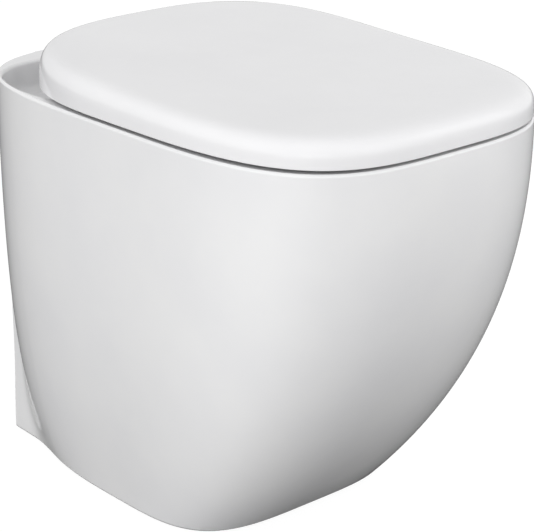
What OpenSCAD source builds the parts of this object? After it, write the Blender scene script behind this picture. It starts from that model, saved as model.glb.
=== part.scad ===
// Back to wall toilet: an egg shaped pan with a thick wrap-over lid and a hidden seat.
// Millimetres. +Z up, the wall at +Y, the front towards -Y, the middle plane at x = 0.
// Each sub-part is one module and one node. Inside a module, y = 0 is the wall.

/* [Pan] */
// Width of the pan across the rim
pan_width = 360; // [345:1:375]
// How far the pan stands out from the wall
pan_depth = 525; // [505:1:550]
// Height of the rim over the floor
rim_height = 410; // [395:1:430]
// Width of the foot on the floor
foot_width = 281; // [266:1:296]
// Depth of the foot on the floor
foot_depth = 341; // [325:1:360]
// Width of the flat tail against the wall
tail_width = 238; // [225:1:248]
// Thickness of the fired clay walls
clay_wall = 12; // [10:0.5:14]
// Width of the bowl opening
bowl_width = 248; // [236:1:256]
// Depth of the hinge deck below the rim
deck_drop = 30; // [28:0.5:34]
// Height of the outlet over the floor
outlet_height = 180; // [176:1:186]
// Height of the flush inlet over the floor
inlet_height = 328; // [320:1:332]

/* [Lid and seat] */
// How far the lid's side stands in from the pan's side
lid_side_inset = 1; // [0.5:0.5:7.5]
// Distance from the wall to the back of the lid
lid_back = 66; // [64:1:70]
// Height of the middle of the lid's top over the rim
lid_crown = 36; // [35:0.5:42]
// Thickness of the lid's shell
lid_shell = 5.5; // [4.5:0.5:6.5]
// Gap between the rim and the lid
lid_gap = 3; // [2.5:0.5:4]
// Height of the seat's crown over the rim
seat_crown = 22; // [19:0.5:23]
// Width of the opening in the seat
seat_opening = 216; // [206:1:224]

/* [Hinges and fixings] */
// Distance between the two hinge studs
hinge_spacing = 155; // [150:1:160]
// Distance from the wall to the hinge axis
hinge_reach = 92; // [90:0.5:94]
// Height of the hinge axis over the rim
hinge_rise = 12; // [11:0.5:13]
// Diameter of the hinge stud
stud_diameter = 13; // [12:0.5:14]
// Travel of a release button
button_travel = 2.5; // [2:0.1:2.8]
// Distance between the two floor screws
floor_spacing = 182; // [176:1:186]
// Diameter of the floor screw holes
floor_hole = 9; // [8:0.5:10]

/* [Hidden] */
$fn = 48;
cut = 1;
run_fit = 0.05;
soft_gap = 0.3;

// The pan's outline
foot_centre = foot_depth * 0.587;
rim_centre = pan_depth * 0.55;
rear_reach = 1.003;
width_swell = [3.25, 1.166];
depth_swell = [2.125, 0.982];
front_power = [3.84, 3.35];
rear_power = [2.8, 4.17];
front_turn = 1.42;
rear_turn = 7.9;
tail_taper = 2.5;
tail_taper_height = 0.25;
tail_flare = 0.045;
tail_fillet = 12;
tail_end = 100;
tail_fade = 40;
tail_top_narrowing = 40;
rim_round = 3;
foot_round = 4;
over = 2;
ring_steps = 90;
inner_steps = 60;
wall_places = [-30, -3, 3, 8, 14, 21, 29, 38, 48, 60, 75, 93];
side_steps = 7;
front_steps = 52;
hollow_front_steps = 30;

// The hollow under the rim
deck_z = rim_height - deck_drop;
ceiling_z = deck_z - clay_wall;

// The hinge deck's pocket in plan
pocket_back = 22;
pocket_bulge = 14;
pocket_front = 130;
rim_edge = 7;
pocket_steps = 40;

// The bowl and its sump
bowl_centre = pan_depth * 0.63;
bowl_front = 132;
bowl_rear = 126;
bowl_skin = 10;
sump_centre = 292;
sump_radius = 46;
sump_z = 140;
sump_floor = 95;

// The trapway, a tube of three bends
trap_bend = 52;
trap_bend_out = 50;
trap_bore = 38;
trap_skin = 8;
trap_dip = 105;
water_seal = 50;
trap_low_z = outlet_height - trap_dip;
trap_low_y = -228;
trap_crown = trap_low_z + 2 * trap_bore + water_seal;
trap_lead = 28;
trap_steps = 20;
outlet_radius = 51;
outlet_bore = 43;
outlet_start = 16;
outlet_end = 66;

// The flush inlet
inlet_bore = 27.5;
inlet_boss = 38;
inlet_start = 14;
inlet_end = 66;
horn_radius = 30;
horn_bore = 20;
chamber_start = 162;
chamber_size = [116, 52, 54];
chamber_wall = 9;
slot_length = 84;
slot_height = 14;
pipe_radius = 22;

// The lid's outline
lid_centre = 261;
lid_front = pan_depth - 0.4 - lid_centre;
lid_rear = lid_centre - lid_back;
lid_width = pan_width - 2 * lid_side_inset;
lid_front_power = 3.52;
lid_rear_power = 2.97;
lid_side = 10;
lid_power = 16;
lid_root = 2.3;
lid_middle = 300;
lid_tilt = 7.9;
lid_dip = 7;
lid_tilt_span = 225;
lid_z = rim_height + lid_gap;

// The seat
seat_inset = lid_shell + 3;
seat_rear = hinge_reach + 14.5;
seat_open_front = 124;
seat_open_rear = 112;
seat_back_fillet = 40;
far = 10000;
seat_lift = 4;
seat_z = rim_height + seat_lift;

// Hinges
axis_z = rim_height + hinge_rise;
axis_y = -hinge_reach;
hinge_x = hinge_spacing / 2;
lug_radius = 11;
lug_gap = 0.5;
carrier_size = [26, 24];
carrier_in = hinge_x - carrier_size[0] / 2;
carrier_top = axis_z + 6;
gasket_thick = 1.5;
disc_thick = 3.5;
disc_radius = 17;
disc_top = deck_z + gasket_thick + disc_thick;
seat_lug = [carrier_in - lug_gap - 18, carrier_in - lug_gap];
lid_lug = [seat_lug[0] - lug_gap - 21, seat_lug[0] - lug_gap];
damper_radius = 7.5;
shaft_radius = 4;
shaft_flat = 2.6;
shaft_end = carrier_in + 19;
stub_radius = 5;
stud_radius = stud_diameter / 2;
stud_top = disc_top + 21;
neck_radius = 3.4;
neck_z = disc_top + 8.5;
neck_height = 9;
shank_radius = 3;
deck_hole = 7;
sleeve_length = 34;
nut_length = 8;

// Release buttons and latch clips
button_z = neck_z + neck_height / 2;
chamber_z = [button_z - 5, button_z + 5];
button_stem = 3;
button_cap = 5;
cap_thick = 1.5;
wire_radius = 0.8;

// Floor fixing
bracket_x = floor_spacing / 2;
bracket_width = 30;
bracket_thick = 3;
bracket_back = 52;
bracket_face = 89;
bracket_height = 74;
pin_z = 50;
pin_radius = 4;
pin_nut = 7.5;
pin_nut_thick = 5;
bush_radius = 8;
lug_y = [95, 120];
lug_half = 18;
floor_hole_y = 68;

// Colours
china = [0.95, 0.95, 0.95];
plastic = [0.93, 0.93, 0.94];
rubber = [0.35, 0.35, 0.36];
steel = [0.72, 0.72, 0.74];
brass = [0.80, 0.68, 0.40];
nylon = [0.85, 0.85, 0.82];

// ---- Shared functions ----

function mix(a, b, t) = a + (b - a) * t;

function clamp01(t) = min(1, max(0, t));

function ease(t) = let(c = clamp01(t)) c * c * (3 - 2 * c);

function soft_max(a, b, k) = let(h = max(k - abs(a - b), 0) / k) max(a, b) + h * h * k / 4;

function soft_min(a, b, k) = -soft_max(-a, -b, k);

// How far a quarter round of radius r draws in, h past its tangent point
function round_in(r, h) = let(c = min(r, max(0, h))) r - sqrt(r * r - c * c);

// Distance from the middle of a super-ellipse to its edge at angle a
function egg(a, w, l, n) =
    pow(pow(abs(cos(a)) / w, n) + pow(abs(sin(a)) / l, n), -1 / n);

// Triangles between rings of n points, with both ends closed by a fan.
// The two fan centres follow the last ring in the point list.
function skin_faces(n, rings) = concat(
    [for (r = [0 : rings - 2], i = [0 : n - 1]) let(j = (i + 1) % n)
        [r * n + i, (r + 1) * n + i, r * n + j]],
    [for (r = [0 : rings - 2], i = [0 : n - 1]) let(j = (i + 1) % n)
        [r * n + j, (r + 1) * n + i, (r + 1) * n + j]],
    [for (i = [0 : n - 1]) [rings * n, i, (i + 1) % n]],
    [for (i = [0 : n - 1]) [rings * n + 1, (rings - 1) * n + (i + 1) % n, (rings - 1) * n + i]]);

// A solid skinned over rings that run upwards, each anticlockwise seen from above
module skinned(rings, low, high) {
    n = len(rings[0]);
    polyhedron(points = concat([for (ring = rings) each ring], [low, high]),
        faces = skin_faces(n, len(rings)), convexity = 10);
}

module at_wall() {
    translate([0, pan_depth / 2, 0]) children();
}

module both_sides() {
    children();
    mirror([1, 0, 0]) children();
}

// A cylinder along y from y0 to y1
module y_rod(x, z, y0, y1, r) {
    translate([x, y1, z]) rotate([90, 0, 0]) cylinder(r = r, h = y1 - y0);
}

// A cylinder along x on the hinge axis
module axis_rod(x0, x1, r) {
    translate([x0, axis_y, axis_z]) rotate([0, 90, 0]) cylinder(r = r, h = x1 - x0);
}

// ---- The pan ----

// Share of the way from foot to rim at height share s, for the width and for the depth
function swell_w(s) = pow(1 - pow(1 - s, width_swell[0]), width_swell[1]);

function swell_l(s) = pow(1 - pow(1 - s, depth_swell[0]), depth_swell[1]);

function pan_w(s) = mix(foot_width / 2, pan_width / 2, swell_w(s));

function pan_l(s) = mix(foot_depth, pan_depth, swell_l(s));

function pan_c(s) = mix(foot_centre, rim_centre, swell_l(s));

// The power of the outline's super-ellipse at height share s, in front and behind
function front_n(s) = mix(front_power[1], front_power[0], pow(1 - s, front_turn));

function rear_n(s) = mix(rear_power[1], rear_power[0], pow(1 - s, rear_turn));

// Half width of the egg alone at distance d from the wall, behind its widest place
function egg_x(d, s) =
    let(c = pan_c(s), n = rear_n(s))
    pan_w(s) * pow(1 - pow(clamp01((c - d) / (c * rear_reach)), n), 1 / n);

// Half width of the flat tail
function tail_x(d, s) =
    let(taper = tail_taper * ease(s / tail_taper_height), top = tail_top_narrowing * ease((s - 0.4) / 0.5))
    tail_width / 2 - taper - top + tail_flare * d;

// Half width of the egg with the tail faired in
function rear_x(d, s) =
    let(body = egg_x(d, s))
    mix(body, soft_max(body, tail_x(d, s), tail_fillet), ease((tail_end - d) / tail_fade));

// A wall of even thickness is longer across the pan where the outline runs at a slant
function rear_slant(d, s) =
    let(slope = (rear_x(d + 1, s) - rear_x(d - 1, s)) / 2)
    min(1.8, sqrt(1 + slope * slope));

// Distances from the wall of a ring's points, up to the widest place at distance c
function rear_places(c) =
    let(last = wall_places[len(wall_places) - 1])
    concat(wall_places, [for (k = [1 : side_steps]) mix(last, c, k / side_steps)]);

// One ring of the pan at height z, drawn in by inset
function pan_ring(z, inset, steps) =
    let(s = clamp01(z / rim_height), c = pan_c(s))
    let(rear = [for (d = rear_places(c)) [rear_x(d, s) - inset * rear_slant(d, s), -d, z]])
    concat([for (k = [len(rear) - 1 : -1 : 0]) rear[k]],
        [for (p = rear) [-p[0], p[1], z]],
        [for (k = [1 : steps - 1]) let(a = 180 + 180 * k / steps)
            let(r = egg(a, pan_w(s), pan_l(s) - c, front_n(s)) - inset)
            [r * cos(a), r * sin(a) - c, z]]);

function edge_inset(z) =
    round_in(rim_round, z - (rim_height - rim_round)) + round_in(foot_round, foot_round - z);

module pan_body() {
    levels = concat([-over, 1, foot_round],
        [for (i = [1 : 16]) mix(foot_round, rim_height - rim_round, i / 16)],
        [rim_height - 3, rim_height - 1, rim_height + over]);
    intersection() {
        skinned([for (z = levels) pan_ring(z, edge_inset(z), front_steps)],
            [0, -foot_centre, -over], [0, -rim_centre, rim_height + over]);
        translate([-pan_width, -pan_depth * 1.2, 0]) cube([pan_width * 2, pan_depth * 1.2, rim_height]);
    }
}

module pan_hollow() {
    top = ceiling_z;
    levels = [-10, 22, 60, 120, 190, 260, top - 32, top - 12, top - 3];
    skinned([for (z = levels) pan_ring(z, clay_wall + round_in(12, z - (top - 12)), hollow_front_steps)],
        [0, -foot_centre, -10], [0, -rim_centre, top]);
}

// One ring of the deck's pocket, drawn in by inset
function pocket_ring(z, inset) =
    let(mid = (pocket_back + pocket_front) / 2, half = (pocket_front - pocket_back) / 2 - inset)
    [for (i = [0 : pocket_steps - 1]) let(a = (i + 0.5) * 360 / pocket_steps)
        let(u = sign(sin(a)) * pow(abs(sin(a)), 0.5), f = pow(abs(cos(a)), 0.45))
        let(d = mid - half * u, x = (egg_x(d, 1) - rim_edge - inset) * f * sign(cos(a)))
        let(bulge = u > 0 ? pocket_bulge * max(0, 1 - pow(x / 125, 2)) * pow(u, 3) : 0)
        [x, -(d + bulge), z]];

module deck_pocket() {
    foot = 14;
    depths = [deck_drop, deck_drop - 1, deck_drop - 4, deck_drop - 9, deck_drop - 14, 6, 1, -over];
    skinned([for (h = depths)
            pocket_ring(rim_height - h, 0.22 * h + round_in(foot, h - (deck_drop - foot)) - round_in(3, 3 - h))],
        [0, -(pocket_back + pocket_front) / 2, deck_z],
        [0, -(pocket_back + pocket_front) / 2, rim_height + over]);
}

// Ring of the bowl at height z: grow is added to the radius
function bowl_ring(z, grow, n) =
    let(v = ease(((rim_height - z) / (rim_height - sump_z) - 0.08) / 0.92))
    let(low = max(0, sump_z - z) / (sump_z - sump_floor), c = mix(bowl_centre, sump_centre, v))
    [for (i = [0 : n - 1]) let(a = (i + 0.5) * 360 / n)
        let(top = egg(a, bowl_width / 2, sin(a) > 0 ? bowl_rear : bowl_front, 2.3))
        let(r = mix(top, sump_radius, v) * sqrt(1 - pow(min(low, 0.96), 2)) + grow)
        [r * cos(a), r * sin(a) - c, z]];

module bowl_inside() {
    levels = concat([for (k = [0.96, 0.85, 0.6, 0.3]) mix(sump_z, sump_floor, k)],
        [for (k = [0 : 9]) mix(sump_z, rim_height - 8, k / 9)], [rim_height - 3, rim_height + over]);
    skinned([for (z = levels) bowl_ring(z, round_in(6, z - (rim_height - 7)), inner_steps)],
        [0, -sump_centre, sump_floor], [0, -bowl_centre, rim_height + over]);
}

module bowl_outside() {
    drop = 9;
    levels = concat([for (k = [0.96, 0.8, 0.4]) mix(sump_z, sump_floor, k)],
        [for (k = [0 : 7]) mix(sump_z, rim_height - 4, k / 7)]);
    translate([0, 0, -drop])
        skinned([for (z = levels) bowl_ring(z, bowl_skin, inner_steps)],
            [0, -sump_centre, sump_floor], [0, -bowl_centre, rim_height - 4]);
}

// Stations of the trapway: [y, z, heading], from the sump back to the outlet
function trap_stations(lead) =
    let(low_z = trap_low_z + trap_bend, crown_z = trap_crown - trap_bend, in = 45)
    let(rise_y = trap_low_y + trap_bend, crown_y = rise_y + trap_bend)
    let(fall = acos(1 - (trap_crown - outlet_height) / (trap_bend + trap_bend_out)))
    let(last_y = crown_y + (trap_bend + trap_bend_out) * sin(fall))
    concat(
        [for (t = [lead, lead / 2])
            [trap_low_y - trap_bend * sin(in) - t * cos(in), low_z - trap_bend * cos(in) + t * sin(in), -in]],
        [for (k = [0 : 8]) let(a = mix(-in, 90, k / 8))
            [trap_low_y + trap_bend * sin(a), low_z - trap_bend * cos(a), a]],
        [for (k = [0 : 8]) let(a = mix(90, -fall, k / 8))
            [crown_y - trap_bend * sin(a), crown_z + trap_bend * cos(a), a]],
        [for (k = [1 : 4]) let(a = mix(-fall, 0, k / 4))
            [last_y + trap_bend_out * sin(a), outlet_height + trap_bend_out - trap_bend_out * cos(a), a]],
        [[-outlet_start - 20, outlet_height, 0]]);

module trap_tube(r, lead) {
    stations = trap_stations(lead);
    ends = [stations[0], stations[len(stations) - 1]];
    rings = [for (p = stations)
        [for (i = [0 : trap_steps - 1]) let(a = (i + 0.5) * 360 / trap_steps)
            [-r * cos(a), p[0] - r * sin(a) * sin(p[2]), p[1] + r * sin(a) * cos(p[2])]]];
    skinned(rings, [0, ends[0][0], ends[0][1]], [0, ends[1][0], ends[1][1]]);
}

// Clay lug that holds a bush, inside the skirt
module bracket_lug() {
    outer = rear_x(lug_y[0], (pin_z - lug_half) / rim_height) - clay_wall / 2;
    translate([bracket_x - 15, -lug_y[1], pin_z - lug_half])
        cube([outer - bracket_x + 15, lug_y[1] - lug_y[0], lug_half * 2]);
}

module flush_slot() {
    end = slot_length / 2 - slot_height / 2;
    y0 = -(chamber_start + chamber_size[1] + 26);
    y1 = -(chamber_start + chamber_size[1] - 22);
    for (x = [-end, end]) y_rod(x, inlet_height, y0, y1, slot_height / 2);
    translate([-end, y0, inlet_height - slot_height / 2]) cube([end * 2, y1 - y0, slot_height]);
}

module pan() {
    room = chamber_size - [2, 2, 2] * chamber_wall;
    color(china) at_wall() difference() {
        union() {
            difference() {
                pan_body();
                pan_hollow();
            }
            bowl_outside();
            trap_tube(trap_bore + trap_skin, trap_lead + 14);
            y_rod(0, outlet_height, -outlet_end, -outlet_start, outlet_radius);
            y_rod(0, inlet_height, -inlet_end, -inlet_start, inlet_boss);
            y_rod(0, inlet_height, -chamber_start - 5, -inlet_end + 5, horn_radius);
            translate([-chamber_size[0] / 2, -chamber_start - chamber_size[1], inlet_height - chamber_size[2] / 2])
                cube(chamber_size);
            both_sides() bracket_lug();
        }
        bowl_inside();
        trap_tube(trap_bore, trap_lead);
        y_rod(0, outlet_height, -outlet_start - 26, -outlet_start + cut, outlet_bore);
        y_rod(0, inlet_height, -inlet_end + clay_wall, -inlet_start + cut, inlet_bore);
        y_rod(0, inlet_height, -chamber_start - 15, -inlet_end, horn_bore);
        translate([-room[0] / 2, -chamber_start - chamber_size[1] + chamber_wall, inlet_height - room[2] / 2])
            cube(room);
        flush_slot();
        deck_pocket();
        both_sides() translate([hinge_x, axis_y, ceiling_z - clay_wall])
            cylinder(r = deck_hole, h = deck_drop + clay_wall);
        both_sides() y_rod(bracket_x, pin_z, -lug_y[1] - cut, -lug_y[0] + cut, bush_radius);
    }
}

// ---- The seat ----

function lid_edge(a, inset) =
    let(rear = sin(a) > 0)
    egg(a, lid_width / 2, rear ? lid_rear : lid_front, rear ? lid_rear_power : lid_front_power) - inset;

function seat_outer(a) =
    let(r = lid_edge(a, seat_inset))
    let(flat = sin(a) > 0 ? (lid_centre - seat_rear) / sin(a) : far)
    let(rr = flat > r + seat_back_fillet ? r : soft_min(r, flat, seat_back_fillet))
    [rr * cos(a), rr * sin(a) - lid_centre];

function seat_inner(a) =
    let(r = egg(a, seat_opening / 2, sin(a) > 0 ? seat_open_rear : seat_open_front, 2.3))
    [r * cos(a), r * sin(a) - bowl_centre];

// Section of the seat: share of the way from the opening to the edge, height over the seat's underside
seat_section = [[0.05, 0], [0, 4], [0.01, 8.5], [0.06, 12], [0.2, 0.9 * (seat_crown - 4) + 1],
    [0.45, seat_crown - 4], [0.7, seat_crown - 5], [0.86, seat_crown - 7.5], [0.95, 9.5], [1, 5], [0.985, 0]];

module seat_body() {
    n = ring_steps;
    m = len(seat_section);
    points = [for (i = [0 : n - 1]) let(a = (i + 0.5) * 360 / n, p = seat_inner(a), q = seat_outer(a))
        each [for (k = seat_section)
            [mix(p[0], q[0], k[0]), mix(p[1], q[1], k[0]), seat_z + k[1]]]];
    polyhedron(points = points, convexity = 10, faces = [for (i = [0 : n - 1], k = [0 : m - 1])
        let(i2 = (i + 1) % n, k2 = (k + 1) % m)
        each [[i * m + k, i2 * m + k, i * m + k2], [i2 * m + k, i2 * m + k2, i * m + k2]]]);
}

buffer_stem = 3;
seat_buffer_places = [[143, 398], [143, 222]];

module seat_ring() {
    web_back = seat_rear + 8;
    color(plastic) at_wall() difference() {
        union() {
            seat_body();
            both_sides() {
                axis_rod(seat_lug[0], seat_lug[1], lug_radius);
                translate([seat_lug[0], -web_back, seat_z + 1])
                    cube([seat_lug[1] - seat_lug[0], web_back - hinge_reach, seat_crown - 8]);
            }
        }
        mirror([1, 0, 0]) axis_rod(seat_lug[0] - cut, seat_lug[1] + cut, damper_radius + run_fit);
        axis_rod(seat_lug[0] - cut, seat_lug[1] + cut, shaft_radius + run_fit);
        for (p = seat_buffer_places) both_sides()
            translate([p[0], -p[1], seat_z - cut]) cylinder(r = buffer_stem + run_fit, h = 5 + cut);
    }
}

module seat_buffers() {
    color(rubber) at_wall() for (p = seat_buffer_places) both_sides() {
        translate([p[0], -p[1], rim_height + soft_gap])
            cylinder(r1 = 8, r2 = 9, h = seat_z - rim_height - soft_gap);
        translate([p[0], -p[1], seat_z - cut]) cylinder(r = buffer_stem, h = 5.5);
    }
}

// ---- The lid ----

// Height of the lid's top over the rim, u is the share of the way from its middle to its edge
function lid_top(u, y, drop) =
    let(t = (-y - lid_middle) / lid_tilt_span)
    let(crown = lid_crown - drop - lid_tilt * t + lid_dip * t * t)
    lid_side + (crown - lid_side) * pow(1 - pow(u, lid_power), 1 / lid_root);

function lid_ring(u, inset, drop, n) =
    [for (i = [0 : n - 1]) let(a = (i + 0.5) * 360 / n, r = lid_edge(a, inset) * u)
        let(y = r * sin(a) - lid_centre)
        [r * cos(a), y, rim_height + lid_top(u, y, drop)]];

module lid_outside() {
    shares = [1, 0.998, 0.993, 0.984, 0.97, 0.95, 0.92, 0.88, 0.82, 0.74, 0.6, 0.4, 0.2];
    skinned(concat([[for (p = lid_ring(1, 0, 0, ring_steps)) [p[0], p[1], lid_z]]],
            [for (u = shares) lid_ring(u, 0, 0, ring_steps)]),
        [0, -lid_centre, lid_z], [0, -lid_centre, rim_height + lid_top(0, -lid_centre, 0)]);
}

module lid_inside() {
    shares = [0.997, 0.985, 0.96, 0.9, 0.8, 0.6, 0.3];
    skinned(concat([[for (p = lid_ring(shares[0], lid_shell, 0, 56)) [p[0], p[1], lid_z - over]]],
            [for (u = shares) lid_ring(u, lid_shell, lid_shell, 56)]),
        [0, -lid_centre, lid_z - over],
        [0, -lid_centre, rim_height + lid_top(0, -lid_centre, lid_shell)]);
}

lid_buffer_place = [112, 428];
lid_pad_z = rim_height + seat_crown + 3;

module lid_posts() {
    both_sides() {
        axis_rod(lid_lug[0], lid_lug[1], lug_radius);
        translate([lid_lug[0], axis_y - 9, axis_z])
            cube([lid_lug[1] - lid_lug[0], 18, lid_crown]);
        translate([lid_buffer_place[0], -lid_buffer_place[1], lid_pad_z])
            cylinder(r = 8, h = lid_crown);
    }
}

module lid() {
    notch = [carrier_in - 2.5, hinge_x + carrier_size[0] / 2 + 6];
    notch_top = axis_z + carrier_size[1] / 2 + 4;
    color(plastic) at_wall() difference() {
        union() {
            lid_outside();
            both_sides() axis_rod(lid_lug[0], lid_lug[1], lug_radius);
        }
        difference() {
            lid_inside();
            lid_posts();
        }
        both_sides() translate([notch[0], -hinge_reach, lid_z - over])
            cube([notch[1] - notch[0], hinge_reach, notch_top - lid_z + over]);
        axis_rod(lid_lug[0] + 1, lid_lug[1] + cut, damper_radius + run_fit);
        mirror([1, 0, 0]) axis_rod(lid_lug[0] + 1, lid_lug[1] + cut, stub_radius + run_fit);
        both_sides() translate([lid_buffer_place[0], -lid_buffer_place[1], lid_pad_z - cut])
            cylinder(r = buffer_stem + run_fit, h = 5);
    }
}

module lid_buffers() {
    color(rubber) at_wall() both_sides()
        translate([lid_buffer_place[0], -lid_buffer_place[1], 0]) {
            translate([0, 0, lid_pad_z - 2.7]) cylinder(r1 = 6, r2 = 7.5, h = 2.7);
            translate([0, 0, lid_pad_z - cut]) cylinder(r = buffer_stem, h = 4.5);
        }
}

// ---- Hinges ----

// A shaft with one flat, which keys it to its carrier
module flat_shaft(x0, x1, grow) {
    difference() {
        axis_rod(x0, x1, shaft_radius + grow);
        translate([x0 - cut, axis_y - shaft_radius - 1, axis_z + shaft_flat + grow])
            cube([x1 - x0 + 2 * cut, 2 * shaft_radius + 2, shaft_radius]);
    }
}

module hinge_carrier() {
    x1 = carrier_in + carrier_size[0];
    back = axis_y + carrier_size[1] / 2;
    front = axis_y - carrier_size[1] / 2;
    difference() {
        union() {
            translate([carrier_in, front, disc_top])
                cube([carrier_size[0], carrier_size[1], axis_z - disc_top]);
            axis_rod(carrier_in, x1, carrier_size[1] / 2 - 0.01);
        }
        translate([carrier_in - cut, front - cut, carrier_top])
            cube([carrier_size[0] + 2 * cut, carrier_size[1] + 2 * cut, carrier_size[1]]);
        translate([hinge_x, axis_y, disc_top - cut])
            cylinder(r = stud_radius + run_fit, h = stud_top - disc_top + 2 + cut);
        translate([hinge_x - 9, front + 4, chamber_z[0]])
            cube([18, carrier_size[1] - 8, chamber_z[1] - chamber_z[0]]);
        y_rod(hinge_x, button_z, front - cut, back - 4, button_stem + run_fit);
        flat_shaft(carrier_in - cut, shaft_end + 0.2, run_fit);
    }
}

module hinge_carrier_right() {
    color(plastic) at_wall() hinge_carrier();
}

module hinge_carrier_left() {
    color(plastic) at_wall() mirror([1, 0, 0]) hinge_carrier();
}

// Mushroom button: cap, stem and the collar that keeps it in
module release_button() {
    face = axis_y - carrier_size[1] / 2;
    y_rod(hinge_x, button_z, face - button_travel - soft_gap - cap_thick, face - button_travel - soft_gap, button_cap);
    y_rod(hinge_x, button_z, face - button_travel - soft_gap, face + 4 + cap_thick, button_stem);
    y_rod(hinge_x, button_z, face + 4, face + 4 + cap_thick, button_stem + 1);
}

module release_button_right() {
    color(steel) at_wall() release_button();
}

module release_button_left() {
    color(steel) at_wall() mirror([1, 0, 0]) release_button();
}

// Bent wire that grips the stud's neck
module latch_clips() {
    legs = neck_radius + wire_radius + 0.1;
    front = axis_y - carrier_size[1] / 2 + 5.8;
    back = axis_y + 7;
    color(steel) at_wall() both_sides() translate([hinge_x, 0, button_z]) {
        for (x = [-legs, legs]) {
            y_rod(x, 0, front + 2.5, back, wire_radius);
            translate([x, back, 0]) sphere(r = wire_radius);
        }
        translate([-legs, back, 0]) rotate([0, 90, 0]) cylinder(r = wire_radius, h = 2 * legs);
    }
}

module seat_damper() {
    color(nylon) at_wall() mirror([1, 0, 0]) difference() {
        union() {
            axis_rod(seat_lug[0], seat_lug[1] - 0.5, damper_radius);
            axis_rod(lid_lug[0] + 2, seat_lug[0] + cut, stub_radius);
        }
        axis_rod(seat_lug[0] + 5, seat_lug[1] + cut, shaft_radius + run_fit);
    }
}

module seat_damper_shaft() {
    color(steel) at_wall() mirror([1, 0, 0]) flat_shaft(seat_lug[0] + 5.3, shaft_end, 0);
}

module lid_damper() {
    color(nylon) at_wall() difference() {
        axis_rod(lid_lug[0] + 1.3, lid_lug[1] - 0.3, damper_radius);
        axis_rod(lid_lug[0] + 6, lid_lug[1] + cut, shaft_radius + run_fit);
    }
}

module lid_damper_shaft() {
    color(steel) at_wall() flat_shaft(lid_lug[0] + 6.3, shaft_end, 0);
}

// Turned stud: post with a neck for the clip, and the shank that pulls the sleeve up
module hinge_studs() {
    color(steel) at_wall() both_sides() translate([hinge_x, axis_y, 0]) {
        difference() {
            translate([0, 0, disc_top]) cylinder(r = stud_radius, h = stud_top - disc_top - 2);
            translate([0, 0, neck_z]) difference() {
                cylinder(r = stud_radius + cut, h = neck_height);
                translate([0, 0, -cut]) cylinder(r = neck_radius, h = neck_height + 2 * cut);
            }
        }
        translate([0, 0, stud_top - 2]) cylinder(r1 = stud_radius, r2 = stud_radius - 2, h = 2);
        translate([0, 0, deck_z - sleeve_length - nut_length - 1])
            cylinder(r = shank_radius, h = sleeve_length + nut_length + gasket_thick + disc_thick + 2);
    }
}

module hinge_discs() {
    color(steel) at_wall() both_sides() translate([hinge_x, axis_y, deck_z + gasket_thick]) difference() {
        union() {
            cylinder(r = disc_radius, h = disc_thick - 1);
            translate([0, 0, disc_thick - 1]) cylinder(r1 = disc_radius, r2 = disc_radius - 1, h = 1);
        }
        translate([0, 0, -cut]) cylinder(r = shank_radius + run_fit, h = disc_thick + 2 * cut);
    }
}

module hinge_gaskets() {
    color(rubber) at_wall() both_sides() translate([hinge_x, axis_y, deck_z]) difference() {
        cylinder(r = disc_radius, h = gasket_thick);
        translate([0, 0, -cut]) cylinder(r = deck_hole, h = gasket_thick + 2 * cut);
    }
}

module hinge_sleeves() {
    color(rubber) at_wall() both_sides() translate([hinge_x, axis_y, deck_z - sleeve_length]) difference() {
        cylinder(r = deck_hole - run_fit, h = sleeve_length + gasket_thick);
        translate([0, 0, -cut]) cylinder(r = shank_radius + run_fit, h = sleeve_length + gasket_thick + 2 * cut);
    }
}

module hinge_nuts() {
    color(brass) at_wall() both_sides()
        translate([hinge_x, axis_y, deck_z - sleeve_length - nut_length]) difference() {
            cylinder(r1 = deck_hole - 1.5, r2 = deck_hole - 0.3, h = nut_length);
            translate([0, 0, -cut]) cylinder(r = shank_radius + run_fit, h = nut_length + 2 * cut);
        }
}

// ---- Pipes and floor fixing ----

module inlet_seal() {
    color(rubber) at_wall() difference() {
        union() {
            y_rod(0, inlet_height, -inlet_start - 30, -inlet_start, inlet_bore - run_fit);
            y_rod(0, inlet_height, -inlet_start, -inlet_start + 5, inlet_bore + 4);
        }
        y_rod(0, inlet_height, -inlet_start - 31, -inlet_start + 6, pipe_radius);
    }
}

module floor_brackets() {
    color(steel) at_wall() both_sides() difference() {
        union() {
            translate([bracket_x - bracket_width / 2, -bracket_face, 0])
                cube([bracket_width, bracket_face - bracket_back, bracket_thick]);
            translate([bracket_x - bracket_width / 2, -bracket_face, 0])
                cube([bracket_width, bracket_thick, bracket_height]);
        }
        translate([bracket_x, -floor_hole_y, -cut]) cylinder(d = floor_hole, h = bracket_thick + 2 * cut);
        y_rod(bracket_x, pin_z, -bracket_face - cut, -bracket_face + bracket_thick + cut, pin_radius + run_fit);
    }
}

module bracket_pins() {
    color(steel) at_wall() both_sides() {
        y_rod(bracket_x, pin_z, -lug_y[1] - 4, -bracket_face + bracket_thick + pin_nut_thick + 2, pin_radius);
    }
}

module bracket_nuts() {
    color(steel) at_wall() both_sides()
        for (y = [-bracket_face - pin_nut_thick, -bracket_face + bracket_thick])
            translate([bracket_x, y + pin_nut_thick, pin_z]) rotate([90, 0, 0]) difference() {
                cylinder(r = pin_nut, h = pin_nut_thick, $fn = 6);
                translate([0, 0, -cut]) cylinder(r = pin_radius + run_fit, h = pin_nut_thick + 2 * cut);
            }
}

module bracket_bushes() {
    color(nylon) at_wall() both_sides() difference() {
        union() {
            y_rod(bracket_x, pin_z, -lug_y[1], -lug_y[0], bush_radius - run_fit);
            y_rod(bracket_x, pin_z, -lug_y[1] - 3, -lug_y[1], bush_radius + 3);
        }
        y_rod(bracket_x, pin_z, -lug_y[1] - 4, -lug_y[0] + cut, pin_radius + run_fit);
    }
}

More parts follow.
